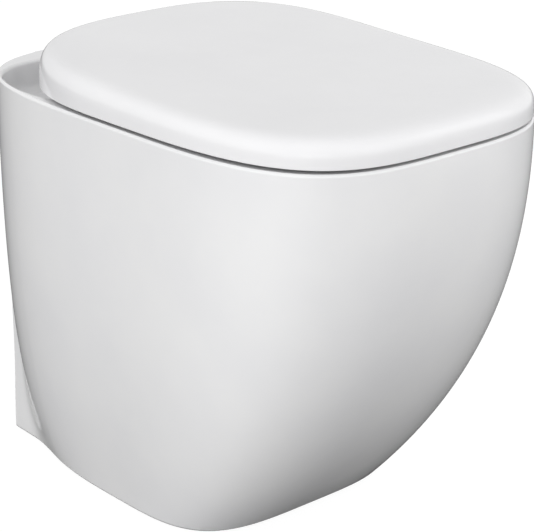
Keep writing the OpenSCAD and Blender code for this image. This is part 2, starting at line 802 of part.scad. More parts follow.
pan();
seat_ring();
lid();
seat_buffers();
lid_buffers();
hinge_carrier_left();
hinge_carrier_right();
release_button_left();
release_button_right();
latch_clips();
seat_damper();
seat_damper_shaft();
lid_damper();
lid_damper_shaft();
hinge_studs();
hinge_discs();
hinge_gaskets();
hinge_sleeves();
hinge_nuts();
inlet_seal();
floor_brackets();
bracket_pins();
bracket_nuts();
bracket_bushes();
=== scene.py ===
"""A back to wall toilet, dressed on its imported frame: glazed pan, wrap-over lid, hidden seat and fixings."""
import logging
import math
from dataclasses import dataclass, field
from enum import Enum
from typing import Callable, Iterable, Sequence

import bpy
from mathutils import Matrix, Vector


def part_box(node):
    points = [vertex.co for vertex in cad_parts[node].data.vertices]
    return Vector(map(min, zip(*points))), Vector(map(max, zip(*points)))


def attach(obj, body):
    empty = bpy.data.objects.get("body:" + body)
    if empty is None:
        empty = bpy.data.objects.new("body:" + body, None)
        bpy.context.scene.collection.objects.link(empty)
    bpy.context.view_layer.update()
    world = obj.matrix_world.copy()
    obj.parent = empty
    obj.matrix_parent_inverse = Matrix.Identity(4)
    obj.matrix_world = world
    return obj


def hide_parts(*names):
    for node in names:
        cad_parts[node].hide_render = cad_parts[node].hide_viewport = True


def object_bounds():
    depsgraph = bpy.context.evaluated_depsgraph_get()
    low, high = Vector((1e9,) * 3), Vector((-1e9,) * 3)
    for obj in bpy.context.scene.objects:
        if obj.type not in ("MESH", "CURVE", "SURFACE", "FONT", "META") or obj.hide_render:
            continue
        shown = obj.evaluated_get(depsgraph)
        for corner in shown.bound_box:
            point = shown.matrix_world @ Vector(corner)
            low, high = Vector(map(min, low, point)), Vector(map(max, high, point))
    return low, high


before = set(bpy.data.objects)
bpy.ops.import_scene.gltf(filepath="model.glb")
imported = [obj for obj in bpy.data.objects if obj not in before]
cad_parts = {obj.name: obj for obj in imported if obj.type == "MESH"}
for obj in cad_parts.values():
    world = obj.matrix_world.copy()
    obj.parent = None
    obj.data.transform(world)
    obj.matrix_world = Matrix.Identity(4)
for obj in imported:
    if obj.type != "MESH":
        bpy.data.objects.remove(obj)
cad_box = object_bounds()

log = logging.getLogger("toilet")

MM = 0.001
TURN = 2.0 * math.pi
ROD_SIDES = 96
CREASE = 32.0
SMALL_CREASE = 35.0
WHITE = (1.0, 1.0, 1.0, 1.0)

Object = bpy.types.Object
Material = bpy.types.Material
Socket = bpy.types.NodeSocket
Tree = bpy.types.NodeTree
Pair = tuple[float, float]
Point = tuple[float, float, float]
Colour = tuple[float, float, float]
Ring = list[Point]


class Side(Enum):
    """The side of the middle plane, as the sign of x."""

    LEFT = -1
    RIGHT = 1


class MetalLook(Enum):
    """How a metal surface is finished."""

    POLISHED = "polished"
    BRUSHED = "brushed"
    PLATED = "plated"


# ---- Small sums shared by the classes ----


def mix(low: float, high: float, share: float) -> float:
    """Returns the value a share of the way from low to high."""
    return low + (high - low) * share


def clamp(share: float) -> float:
    """Returns share held between 0 and 1."""
    return min(1.0, max(0.0, share))


def ease(share: float) -> float:
    """Returns a smooth step from 0 to 1."""
    share = clamp(share)
    return share * share * (3.0 - 2.0 * share)


def soft_max(first: float, second: float, blend: float) -> float:
    """Returns the larger value, rounded over where the two are within blend."""
    near = max(blend - abs(first - second), 0.0) / blend
    return max(first, second) + near * near * blend / 4.0


def soft_min(first: float, second: float, blend: float) -> float:
    """Returns the smaller value, rounded under where the two are within blend."""
    return -soft_max(-first, -second, blend)


def round_in(radius: float, past: float) -> float:
    """Returns how far a quarter round has drawn in, a distance past the place where it begins."""
    past = min(radius, max(0.0, past))
    return radius - math.sqrt(radius * radius - past * past)


def egg(angle: float, half_width: float, length: float, power: float) -> float:
    """Returns the distance from a super-ellipse's middle to its edge.

    Args:
        angle: The direction, in radians, from +X towards the wall.
        half_width: Its reach along X.
        length: Its reach along Y on this side.
        power: 2 is an ellipse, and more is squarer.

    Returns:
        The distance, in the unit of the two reaches.
    """
    across = (abs(math.cos(angle)) / half_width) ** power
    along = (abs(math.sin(angle)) / length) ** power
    return (across + along) ** (-1.0 / power)


def angles(count: int) -> list[float]:
    """Returns count even angles round a turn, none of them on an axis."""
    return [(step + 0.5) * TURN / count for step in range(count)]


def spread(low: float, high: float, count: int) -> list[float]:
    """Returns count even values from low to high, both included."""
    return [mix(low, high, step / (count - 1)) for step in range(count)]


# ---- Meshes ----


class Workshop:
    """Makes plain solids as mesh objects and cuts or joins them. Places are in mm, with y = 0 at the wall."""

    @staticmethod
    def solid(name: str, points: Sequence[Point], faces: Sequence[Sequence[int]]) -> Object:
        """Makes a mesh object.

        Args:
            name: The object's name.
            points: The corners.
            faces: Corner numbers of each face.

        Returns:
            The new object, in metres and in the row frame.
        """
        mesh = bpy.data.meshes.new(name)
        wall = cad_box[1].y
        corners = [(x * MM, wall + y * MM, z * MM) for x, y, z in points]
        mesh.from_pydata(corners, [], [list(face) for face in faces])
        mesh.validate()
        made = bpy.data.objects.new(name, mesh)
        bpy.context.scene.collection.objects.link(made)
        return made

    @staticmethod
    def sides(rings: Sequence[Ring]) -> list[tuple[int, ...]]:
        """Lists the faces between rings.

        Args:
            rings: Rings of equal length that run upwards, each anticlockwise seen from above.

        Returns:
            Corner numbers of each face.
        """
        count = len(rings[0])
        faces: list[tuple[int, ...]] = []
        for base in range(0, (len(rings) - 1) * count, count):
            over = base + count
            for step in range(count):
                after = (step + 1) % count
                faces.append((base + step, base + after, over + after, over + step))
        return faces

    @classmethod
    def skinned(cls, name: str, rings: Sequence[Ring], low: Point, high: Point) -> Object:
        """Makes a closed solid over rings, with a fan of faces on each end.

        Args:
            name: The object's name.
            rings: Rings of equal length that run upwards, each anticlockwise seen from above.
            low: The middle of the first ring's fan.
            high: The middle of the last ring's fan.

        Returns:
            The new object.
        """
        count = len(rings[0])
        points = [point for ring in rings for point in ring] + [low, high]
        first, last = len(points) - 2, len(points) - 1
        faces, top = cls.sides(rings), first - count
        for step in range(count):
            after = (step + 1) % count
            faces += [(first, after, step), (last, top + step, top + after)]
        return cls.solid(name, points, faces)

    @classmethod
    def capped(cls, name: str, rings: Sequence[Ring]) -> Object:
        """Makes a closed solid over rings of any outline, with one flat face on each end.

        Args:
            name: The object's name.
            rings: Rings of equal length that run upwards, each anticlockwise seen from above.

        Returns:
            The new object.
        """
        count = len(rings[0])
        points = [point for ring in rings for point in ring]
        ends = [tuple(range(count))[::-1], tuple(range(len(points) - count, len(points)))]
        return cls.solid(name, points, cls.sides(rings) + ends)

    @classmethod
    def hooped(cls, name: str, sections: Sequence[Ring]) -> Object:
        """Makes a closed hoop.

        Args:
            name: The object's name.
            sections: Sections of equal length that follow each other round the hoop.

        Returns:
            The new object.
        """
        size = len(sections[0])
        faces = []
        for step in range(len(sections)):
            here, there = step * size, (step + 1) % len(sections) * size
            for corner in range(size):
                after = (corner + 1) % size
                faces.append((here + corner, here + after, there + after, there + corner))
        return cls.solid(name, [point for section in sections for point in section], faces)

    @classmethod
    def rod(cls, name: str, start: Point, end: Point, radius: float) -> Object:
        """Makes a round rod between two places.

        Args:
            name: The object's name.
            start: The middle of one end.
            end: The middle of the other end.
            radius: The rod's radius.

        Returns:
            The new object.
        """
        axis = (Vector(end) - Vector(start)).normalized()
        turn = Vector((0, 0, 1)).rotation_difference(axis)
        rim = [turn @ Vector((radius * math.cos(a), radius * math.sin(a), 0)) for a in angles(ROD_SIDES)]
        rings = [[tuple(Vector(middle) + spoke) for spoke in rim] for middle in (start, end)]
        return cls.skinned(name, rings, start, end)

    @classmethod
    def pipe(cls, name: str, x: float, z: float, span: Pair, radius: float) -> Object:
        """Makes a rod that runs towards the wall, over a span of distances from it."""
        return cls.rod(name, (x, -span[1], z), (x, -span[0], z), radius)

    @classmethod
    def post(cls, name: str, place: Pair, span: Pair, radius: float) -> Object:
        """Makes an upright rod at a place, over a span of heights."""
        return cls.rod(name, (*place, span[0]), (*place, span[1]), radius)

    @classmethod
    def block(cls, name: str, low: Point, high: Point) -> Object:
        """Makes a box between two corners.

        Args:
            name: The object's name.
            low: The corner with the smallest values.
            high: The corner with the largest values.

        Returns:
            The new object.
        """
        rings = [[(low[0], low[1], z), (high[0], low[1], z), (high[0], high[1], z), (low[0], high[1], z)]
                 for z in (low[2], high[2])]
        middle = ((low[0] + high[0]) / 2, (low[1] + high[1]) / 2)
        return cls.skinned(name, rings, (*middle, low[2]), (*middle, high[2]))

    @classmethod
    def side_block(cls, name: str, side: Side, across: Pair, low: Pair, high: Pair) -> Object:
        """Makes a box on one side, from its span of distances from the middle and its corners' y and z."""
        left, right = sorted(side.value * x for x in across)
        return cls.block(name, (left, *low), (right, *high))

    @staticmethod
    def combine(base: Object, tools: Iterable[Object], operation: str) -> Object:
        """Cuts, joins or crosses a solid with others, which are then deleted.

        Args:
            base: The solid that is changed.
            tools: The solids that it is changed by.
            operation: DIFFERENCE, UNION or INTERSECT.

        Returns:
            The base.
        """
        for tool in tools:
            change = base.modifiers.new("change", "BOOLEAN")
            change.operation = operation
            change.solver = "EXACT"
            change.object = tool
            bpy.context.view_layer.update()
            graph = bpy.context.evaluated_depsgraph_get()
            mesh = bpy.data.meshes.new_from_object(base.evaluated_get(graph))
            base.modifiers.clear()
            old, base.data = base.data, mesh
            bpy.data.meshes.remove(old)
            bpy.data.objects.remove(tool)
        return base

    @staticmethod
    def mirrored(make: Callable[[Side], Object]) -> list[Object]:
        """Returns what make gives for the right and the left side."""
        return [make(Side.RIGHT), make(Side.LEFT)]

    @staticmethod
    def shade(piece: Object, crease: float) -> None:
        """Shades a piece smooth, with edges sharper than crease degrees kept crisp."""
        piece.data.shade_smooth()
        piece.data.set_sharp_from_angle(angle=math.radians(crease))

    @classmethod
    def smooth(cls, piece: Object) -> None:
        """Shades a cut piece smooth, with normals that follow its larger faces.

        Args:
            piece: The piece.
        """
        cls.shade(piece, CREASE)
        weigh = piece.modifiers.new("even shading", "WEIGHTED_NORMAL")
        weigh.keep_sharp = True


def dress(piece: Object, *materials: Material) -> None:
    """Gives a piece its materials in place of any that it has.

    Args:
        piece: A piece or a CAD node's object.
        materials: One material for each slot.
    """
    piece.data.materials.clear()
    for material in materials:
        piece.data.materials.append(material)


# ---- Finishes ----


@dataclass(frozen=True)
class Grain:
    """A noise that is fixed to the object: waves to the metre, finer layers and scale along each axis."""

    per_m: float
    layers: float
    stretch: Point = (1.0, 1.0, 1.0)


class Paint:
    """Lays out one material's nodes."""

    noise_span: Pair = (0.3, 0.7)

    def __init__(self, name: str, **values: float) -> None:
        """Makes a material.

        Args:
            name: The material's name.
            values: Even values of the shader's sockets, with _ for a space.
        """
        self.material = bpy.data.materials.new(name)
        self.material.use_nodes = True
        self.tree = self.material.node_tree
        self.shader = self.tree.nodes["Principled BSDF"]
        for socket, value in values.items():
            self.shader.inputs[socket.replace("_", " ")].default_value = value

    def noise(self, grain: Grain) -> Socket:
        """Adds a noise.

        Args:
            grain: Its fineness.

        Returns:
            The noise's value.
        """
        place = self.tree.nodes.new("ShaderNodeTexCoord")
        fit = self.tree.nodes.new("ShaderNodeMapping")
        fit.inputs["Scale"].default_value = grain.stretch
        node = self.tree.nodes.new("ShaderNodeTexNoise")
        node.inputs["Scale"].default_value = grain.per_m
        node.inputs["Detail"].default_value = grain.layers
        self.tree.links.new(place.outputs["Object"], fit.inputs["Vector"])
        self.tree.links.new(fit.outputs["Vector"], node.inputs["Vector"])
        return node.outputs["Fac"]

    def cloud(self, source: Socket, stops: Pair, low: Colour, high: Colour) -> None:
        """Clouds the colour by a noise.

        Args:
            source: The noise's value.
            stops: The values that have the two colours.
            low: The colour at the lower one.
            high: The colour at the higher one.
        """
        node = self.tree.nodes.new("ShaderNodeValToRGB")
        for stop, place, colour in zip(node.color_ramp.elements, stops, (low, high)):
            stop.position = place
            stop.color = (*colour, 1.0)
        self.tree.links.new(source, node.inputs["Fac"])
        self.tree.links.new(node.outputs["Color"], self.shader.inputs["Base Color"])

    def wear(self, source: Socket, roughness: Pair) -> None:
        """Makes the roughness uneven by a noise's middle range.

        Args:
            source: The noise's value.
            roughness: What its low and high places give.
        """
        node = self.tree.nodes.new("ShaderNodeMapRange")
        for socket, value in zip(("From Min", "From Max", "To Min", "To Max"), self.noise_span + roughness):
            node.inputs[socket].default_value = value
        self.tree.links.new(source, node.inputs["Value"])
        self.tree.links.new(node.outputs["Result"], self.shader.inputs["Roughness"])

    def bump(self, *layers: tuple[Socket, float]) -> None:
        """Adds bump layers.

        Args:
            layers: Height of each layer and its depth in metres.
        """
        target = self.shader.inputs["Normal"]
        for height, depth in reversed(layers):
            node = self.tree.nodes.new("ShaderNodeBump")
            node.inputs["Strength"].default_value = 1.0
            node.inputs["Distance"].default_value = depth
            self.tree.links.new(height, node.inputs["Height"])
            self.tree.links.new(node.outputs["Normal"], target)
            target = node.inputs["Normal"]


@dataclass(frozen=True)
class Glaze:
    """White fired glaze: glassy, a little wavy, with the faintest pooling of its tint."""

    name: str = "china_glaze"
    thick: Colour = (0.812, 0.812, 0.822)
    thin: Colour = (0.842, 0.841, 0.844)
    pooling: Grain = Grain(11.0, 3.0)
    pooling_stops: Pair = (0.32, 0.68)
    handling: Grain = Grain(42.0, 4.0)
    roughness: Pair = (0.09, 0.15)
    wave: Grain = Grain(7.0, 1.5)
    wave_depth: float = 0.00045
    pits: Grain = Grain(260.0, 2.0)
    pit_depth: float = 0.000012
    glass_index: float = 1.52
    coat: float = 0.35
    coat_roughness: float = 0.06

    def build(self) -> Material:
        """Makes the material.

        Returns:
            The material.
        """
        paint = Paint(self.name, IOR=self.glass_index, Coat_Weight=self.coat,
                      Coat_Roughness=self.coat_roughness)
        paint.cloud(paint.noise(self.pooling), self.pooling_stops, self.thick, self.thin)
        paint.wear(paint.noise(self.handling), self.roughness)
        paint.bump((paint.noise(self.wave), self.wave_depth), (paint.noise(self.pits), self.pit_depth))
        return paint.material


@dataclass(frozen=True)
class Bisque:
    """Fired clay with no glaze, on the foot, the back edge and inside the skirt."""

    name: str = "bare_china"
    dark: Colour = (0.70, 0.67, 0.62)
    light: Colour = (0.80, 0.78, 0.74)
    cloud: Grain = Grain(18.0, 6.0)
    cloud_stops: Pair = (0.3, 0.65)
    cloud_depth: float = 0.0006
    speck: Grain = Grain(420.0, 5.0)
    speck_depth: float = 0.00012
    roughness: Pair = (0.55, 0.8)

    def build(self) -> Material:
        """Makes the material.

        Returns:
            The material.
        """
        paint = Paint(self.name)
        cloud, speck = paint.noise(self.cloud), paint.noise(self.speck)
        paint.cloud(cloud, self.cloud_stops, self.dark, self.light)
        paint.wear(speck, self.roughness)
        paint.bump((speck, self.speck_depth), (cloud, self.cloud_depth))
        return paint.material


@dataclass(frozen=True)
class Moulded:
    """Moulded plastic: a slow mould wave, a fine skin and small changes of gloss."""

    name: str
    colour: Colour
    shade: Colour
    roughness: Pair = (0.14, 0.22)
    coat: float = 0.2
    coat_roughness: float = 0.1
    cloud: Grain = Grain(9.0, 3.0)
    cloud_stops: Pair = (0.3, 0.7)
    handling: Grain = Grain(55.0, 5.0)
    wave: Grain = Grain(6.0, 1.0)
    wave_depth: float = 0.0002
    skin: Grain = Grain(900.0, 2.0)
    skin_depth: float = 0.000008

    def build(self) -> Material:
        """Makes the material.

        Returns:
            The material.
        """
        paint = Paint(self.name, Coat_Weight=self.coat, Coat_Roughness=self.coat_roughness)
        paint.cloud(paint.noise(self.cloud), self.cloud_stops, self.shade, self.colour)
        paint.wear(paint.noise(self.handling), self.roughness)
        paint.bump((paint.noise(self.wave), self.wave_depth), (paint.noise(self.skin), self.skin_depth))
        return paint.material


@dataclass(frozen=True)
class Rubber:
    """Moulded rubber: matt, faintly bloomed and finely pored."""

    name: str = "grey_rubber"
    dark: Colour = (0.16, 0.16, 0.165)
    pale: Colour = (0.25, 0.25, 0.25)
    bloom: Grain = Grain(60.0, 6.0)
    bloom_stops: Pair = (0.35, 0.75)
    roughness: Pair = (0.6, 0.85)
    pores: Grain = Grain(1500.0, 3.0)
    pore_depth: float = 0.00005

    def build(self) -> Material:
        """Makes the material.

        Returns:
            The material.
        """
        paint = Paint(self.name)
        bloom = paint.noise(self.bloom)
        paint.cloud(bloom, self.bloom_stops, self.dark, self.pale)
        paint.wear(bloom, self.roughness)
        paint.bump((paint.noise(self.pores), self.pore_depth))
        return paint.material


@dataclass(frozen=True)
class MetalSkin:
    """The grain of a metal finish, its roughness and the depth of its marks in metres."""

    grain: Grain
    roughness: Pair
    depth: float


@dataclass(frozen=True)
class Metal:
    """A metal in one of three finishes."""

    name: str
    colour: Colour
    look: MetalLook
    worn_share: float = 0.88
    stops: Pair = (0.3, 0.7)

    def skin(self) -> MetalSkin:
        """Returns the skin that the finish gives."""
        return {MetalLook.POLISHED: MetalSkin(Grain(120.0, 5.0), (0.04, 0.12), 0.000004),
                MetalLook.BRUSHED: MetalSkin(Grain(120.0, 5.0, (1.0, 1.0, 40.0)), (0.22, 0.4), 0.00002),
                MetalLook.PLATED: MetalSkin(Grain(260.0, 5.0), (0.28, 0.5), 0.00002)}[self.look]

    def build(self) -> Material:
        """Makes the material.

        Returns:
            The material.
        """
        paint, skin = Paint(self.name, Metallic=1.0), self.skin()
        grain = paint.noise(skin.grain)
        red, green, blue = (value * self.worn_share for value in self.colour)
        paint.cloud(grain, self.stops, (red, green, blue), self.colour)
        paint.wear(grain, skin.roughness)
        paint.bump((grain, skin.depth))
        return paint.material


# ---- The pan ----


@dataclass
class Pan:
    """The casting: an egg shaped skirt with a flat tail, the rim, the hinge deck, the bowl and the trapway.

    Sizes are in millimetres, y = 0 is the wall and -y the front. A share without other words is one of the
    rim's height.
    """

    glaze: Material
    bare: Material
    width: float = field(default_factory=lambda: 2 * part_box("pan")[1].x / MM)
    depth: float = field(default_factory=lambda: (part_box("pan")[1].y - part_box("pan")[0].y) / MM)
    height: float = field(default_factory=lambda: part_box("pan")[1].z / MM)
    # The egg body, from the foot to the rim: each swell has a power and a root
    foot_width: float = 281.0
    foot_depth: float = 341.0
    foot_middle_share: float = 0.587
    rim_middle_share: float = 0.55
    rear_reach: float = 1.003
    width_swell: Pair = (2.85, 1.166)
    depth_swell: Pair = (2.125, 0.982)
    front_power: Pair = (3.84, 3.35)
    rear_power: Pair = (2.8, 4.03)
    front_turn: float = 1.42
    rear_turn: float = 7.9
    rim_round: float = 3.0
    foot_round: float = 4.0
    # The flat tail at the wall
    tail_width: float = 238.0
    tail_taper: float = 2.5
    tail_taper_height: float = 0.25
    tail_flare: float = 0.045
    tail_fillet: float = 12.0
    tail_end: float = 100.0
    tail_fade: float = 40.0
    tail_top_narrowing: float = 40.0
    tail_top_start: float = 0.4
    tail_top_fade: float = 0.5
    # The wall and the hollow inside it
    wall: float = 12.0
    slant_limit: float = 1.8
    hollow_round: float = 12.0
    hollow_foot: Pair = (-10.0, 15.0)
    hollow_shoulder: tuple[float, ...] = (8.0, 5.0, 3.0)
    # The hinge deck
    deck_drop: float = 30.0
    pocket_back: float = 22.0
    pocket_front: float = 130.0
    pocket_bulge: float = 14.0
    pocket_bulge_half: float = 125.0
    pocket_horn: float = 62.0
    pocket_horn_span: Pair = (100.0, 155.0)
    pocket_corners: Pair = (0.45, 0.17)
    pocket_square: float = 4.0
    pocket_turn: float = 0.85
    pocket_cove: float = 14.0
    pocket_lip: float = 3.0
    pocket_slope: float = 0.22
    rim_edge: float = 4.6
    # The bowl and its sump
    bowl_width: float = 248.0
    bowl_front: float = 132.0
    bowl_rear: float = 126.0
    bowl_power: float = 2.3
    bowl_skin: float = 10.0
    bowl_drop: float = 9.0
    shell_top: float = 4.0
    bowl_round: float = 6.0
    bowl_edge: float = 7.0
    bowl_middle_share: float = 0.63
    bowl_straight: float = 0.08
    bowl_fall: float = 0.92
    sump_middle: float = 292.0
    sump_radius: float = 46.0
    sump_z: float = 140.0
    sump_floor: float = 95.0
    sump_limit: float = 0.985
    # The trapway and the outlet
    trap_bend: float = 52.0
    trap_bend_out: float = 50.0
    trap_bore: float = 38.0
    trap_skin: float = 8.0
    trap_low: Pair = (-228.0, 75.0)
    trap_dip: float = 45.0
    trap_crown: float = 201.0
    trap_lead: float = 28.0
    trap_shell_lead: float = 42.0
    outlet_z: float = 180.0
    outlet_radius: float = 51.0
    outlet_bore: float = 43.0
    outlet_span: Pair = (16.0, 66.0)
    outlet_overlap: Pair = (20.0, 26.0)
    # The flush inlet and its horn into the bowl
    inlet_z: float = 328.0
    inlet_boss: float = 38.0
    inlet_bore: float = 27.5
    inlet_span: Pair = (14.0, 66.0)
    horn_radius: float = 30.0
    horn_bore: float = 20.0
    horn_overlap: Pair = (5.0, 15.0)
    chamber_start: float = 162.0
    chamber_size: Point = (116.0, 52.0, 54.0)
    chamber_wall: float = 9.0
    slot_size: Pair = (84.0, 14.0)
    slot_overlap: Pair = (22.0, 26.0)
    # The holes for the seat's studs and the floor fixings
    stud_x: float = 77.5
    stud_y: float = -92.0
    deck_hole: float = 7.0
    bush_radius: float = 8.0
    lug_span: Pair = (95.0, 120.0)
    lug_x: float = 91.0
    lug_z: float = 50.0
    lug_half: float = 18.0
    lug_in: float = 15.0
    # How far a cut stands past a face, the cutting room's length, and how near a face is to count as flat
    over: float = 2.0
    clear: float = 1.0
    room_share: float = 1.2
    flat: float = 0.05
    # Where the clay is bare: past a depth under the skin, below the deck's floor and outside the bowl's skin
    bare_depth: float = 6.6
    bare_drop: float = 6.0
    bare_bowl: float = 5.0
    bare_sump: float = 4.0
    # Mesh fineness: numbers of levels and of points round a ring
    foot_levels: int = 5
    skin_levels: int = 44
    edge_levels: int = 7
    skin_steps: tuple[int, int] = (30, 130)
    hollow_levels: int = 24
    hollow_steps: tuple[int, int] = (20, 80)
    cove_levels: int = 12
    pocket_steps: tuple[int, int, int] = (81, 24, 22)
    bowl_levels: int = 36
    bowl_steps: int = 160
    shell_levels: int = 24
    shell_steps: int = 120
    trap_steps: tuple[int, int, int] = (20, 22, 10)
    trap_sides: int = 64
    # Mesh fineness: distances from the wall, distances just off an edge, and shares of the way down the sump
    wall_places: tuple[float, ...] = (-30, -6, -2, 0.8, 2, 4, 6.5, 9.5, 13, 17, 21, 26, 31, 37, 44,
                                      52, 61, 71, 82, 93)
    foot_edge: float = 0.4
    skin_edge: float = 0.3
    mouth_edge: float = 0.2
    pocket_depths: tuple[float, ...] = (10, 6, 3, 2, 1.2, 0.5, 0.1)
    sump_inside: tuple[float, ...] = (0.985, 0.96, 0.92, 0.86, 0.77, 0.65, 0.5, 0.3, 0.12)
    sump_outside: tuple[float, ...] = (0.985, 0.9, 0.75, 0.5, 0.25)

    # The egg body's outline

    @property
    def foot_middle(self) -> float:
        """Returns how far the foot's widest place is from the wall."""
        return self.foot_depth * self.foot_middle_share

    @property
    def rim_middle(self) -> float:
        """Returns how far the rim's widest place is from the wall."""
        return self.depth * self.rim_middle_share

    @staticmethod
    def swell(share: float, shape: Pair) -> float:
        """Returns how far the body has swollen from the foot's size, at 0, to the rim's size, at 1."""
        return (1 - (1 - share) ** shape[0]) ** shape[1]

    def half_width(self, share: float) -> float:
        """Returns half the body's width at a share of its height."""
        return mix(self.foot_width / 2, self.width / 2, self.swell(share, self.width_swell))

    def length(self, share: float) -> float:
        """Returns the body's depth at a share of its height."""
        return mix(self.foot_depth, self.depth, self.swell(share, self.depth_swell))

    def middle(self, share: float) -> float:
        """Returns how far the body's widest place is from the wall, at a share of its height."""
        return mix(self.foot_middle, self.rim_middle, self.swell(share, self.depth_swell))

    def egg_half(self, behind: float, share: float) -> float:
        """Returns half the egg's width behind its widest place.

        Args:
            behind: The distance from the wall.
            share: Share of the rim's height.

        Returns:
            The half width, without the tail.
        """
        middle = self.middle(share)
        power = mix(self.rear_power[1], self.rear_power[0], (1 - share) ** self.rear_turn)
        along = clamp((middle - behind) / (middle * self.rear_reach))
        return self.half_width(share) * (1 - along ** power) ** (1 / power)

    def tail_half(self, behind: float, share: float) -> float:
        """Returns half the flat tail's width.

        Args:
            behind: The distance from the wall.
            share: Share of the rim's height.

        Returns:
            The half width.
        """
        taper = self.tail_taper * ease(share / self.tail_taper_height)
        top = self.tail_top_narrowing * ease((share - self.tail_top_start) / self.tail_top_fade)
        return self.tail_width / 2 - taper - top + self.tail_flare * behind

    def rear_half(self, behind: float, share: float) -> float:
        """Returns half the width of the egg with its tail faired in.

        Args:
            behind: The distance from the wall.
            share: Share of the rim's height.

        Returns:
            The half width.
        """
        body = self.egg_half(behind, share)
        joined = soft_max(body, self.tail_half(behind, share), self.tail_fillet)
        return mix(body, joined, ease((self.tail_end - behind) / self.tail_fade))

    def rear_slant(self, behind: float, share: float) -> float:
        """Returns how much longer a wall of even thickness is when it is measured across the pan."""
        slope = (self.rear_half(behind + 1, share) - self.rear_half(behind - 1, share)) / 2
        return min(self.slant_limit, math.sqrt(1 + slope * slope))

    def front_reach(self, angle: float, share: float) -> float:
        """Returns the distance from the widest place's middle to the skin, towards the front."""
        power = mix(self.front_power[1], self.front_power[0], (1 - share) ** self.front_turn)
        return egg(angle, self.half_width(share), self.length(share) - self.middle(share), power)

    def ring(self, z: float, inset: float, side_steps: int, front_steps: int) -> Ring:
        """Returns the body's outline at a height.

        Args:
            z: The height.
            inset: How far it is drawn in evenly.
            side_steps: The number of points on each side, ahead of those near the wall.
            front_steps: The number of steps round the front.

        Returns:
            The ring, anticlockwise seen from above.
        """
        share = clamp(z / self.height)
        middle = self.middle(share)
        places = list(self.wall_places) + spread(self.wall_places[-1], middle, side_steps + 1)[1:]
        half = [(self.rear_half(d, share) - inset * self.rear_slant(d, share), -d, z) for d in places]
        ring: Ring = half[::-1] + [(-x, y, z) for x, y, _ in half]
        for step in range(1, front_steps):
            angle = math.pi + math.pi * step / front_steps
            reach = self.front_reach(angle, share) - inset
            ring.append((reach * math.cos(angle), reach * math.sin(angle) - middle, z))
        return ring

    def inside_skin(self, x: float, y: float, z: float) -> float:
        """Tells how deep a place lies under the outer skin.

        Args:
            x: The place across the pan.
            y: The place along the pan.
            z: The height.

        Returns:
            The depth, less than 0 outside the skin.
        """
        share = clamp(z / self.height)
        middle = self.middle(share)
        if y > -middle:
            return self.rear_half(-y, share) - abs(x)
        return self.front_reach(math.atan2(y + middle, x), share) - math.hypot(x, y + middle)

    def edge_inset(self, z: float) -> float:
        """Returns how far the rounded rim and foot edges draw the skin in."""
        rim = round_in(self.rim_round, z - self.height + self.rim_round)
        return rim + round_in(self.foot_round, self.foot_round - z)

    def skin(self) -> Object:
        """Makes the body's outer solid, cut flat at the wall, the floor and the rim.

        Returns:
            The solid.
        """
        top = self.height - self.rim_round
        levels = [-self.over] + spread(self.foot_edge, self.foot_round, self.foot_levels)
        levels += spread(self.foot_round, top, self.skin_levels)[1:]
        levels += spread(top, self.height - self.skin_edge, self.edge_levels)[1:] + [self.height + self.over]
        rings = [self.ring(z, self.edge_inset(z), *self.skin_steps) for z in levels]
        body = Workshop.skinned("pan_china", rings, (0, -self.foot_middle, -self.over),
                                (0, -self.rim_middle, self.height + self.over))
        room = Workshop.block("room", (-self.width, -self.depth * self.room_share, 0),
                              (self.width, 0, self.height))
        return Workshop.combine(body, [room], "INTERSECT")

    def hollow(self) -> Object:
        """Makes the space inside the skirt, open at the wall and the floor.

        Returns:
            The solid that is cut out.
        """
        low, start = self.hollow_foot
        top = self.height - self.deck_drop - self.wall
        shoulder = top - self.hollow_round
        levels = [low] + spread(start, shoulder, self.hollow_levels)
        levels += [top - drop for drop in self.hollow_shoulder]
        rings = [self.ring(z, self.wall + round_in(self.hollow_round, z - shoulder), *self.hollow_steps)
                 for z in levels]
        return Workshop.skinned("hollow", rings, (0, -self.foot_middle, low), (0, -self.rim_middle, top))

    # The hinge deck behind the lid

    def pocket_places(self) -> list[Pair]:
        """Lays out the deck pocket's outline, with its points evenly spread round the corners.

        Returns:
            Places as shares of the way across and towards the wall.
        """
        rear_power, power = self.pocket_corners
        square = self.pocket_square
        rear_count, side_count, front_count = self.pocket_steps
        rear = [(math.copysign(abs(math.cos(angle)) ** rear_power, math.cos(angle)),
                 math.sin(angle) ** (2 / square)) for angle in spread(0.0, math.pi, rear_count)[:-1]]
        side = [((1 - along ** square) ** (power / 2), along)
                for along in spread(0.0, self.pocket_turn, side_count)]
        half = side + [(across, (1 - across ** (2 / power)) ** (1 / square))
                       for across in spread(side[-1][0], 0.0, front_count)[1:]]
        left = [(-across, -along) for across, along in half]
        return rear + left + [(across, -along) for across, along in half[-2:0:-1]]

    def pocket_ring(self, z: float, inset: float) -> Ring:
        """Returns the deck pocket's outline at a height.

        Args:
            z: The height.
            inset: How far it is drawn in.

        Returns:
            The ring, with horns that follow the rim under the lid's corners.
        """
        middle = (self.pocket_back + self.pocket_front) / 2
        half = (self.pocket_front - self.pocket_back) / 2 - inset
        low, high = self.pocket_horn_span
        ring: Ring = []
        for across, along in self.pocket_places():
            behind = middle - half * along
            x = (self.egg_half(behind, 1.0) - self.rim_edge - inset) * across
            behind += self.pocket_horn * ease((abs(x) - low) / (high - low)) * max(0.0, -along) ** 3
            x = (self.egg_half(behind, 1.0) - self.rim_edge - inset) * across
            bulge = max(0.0, 1 - (x / self.pocket_bulge_half) ** 2) * max(0.0, along) ** 3
            ring.append((x, -behind - self.pocket_bulge * bulge, z))
        return ring

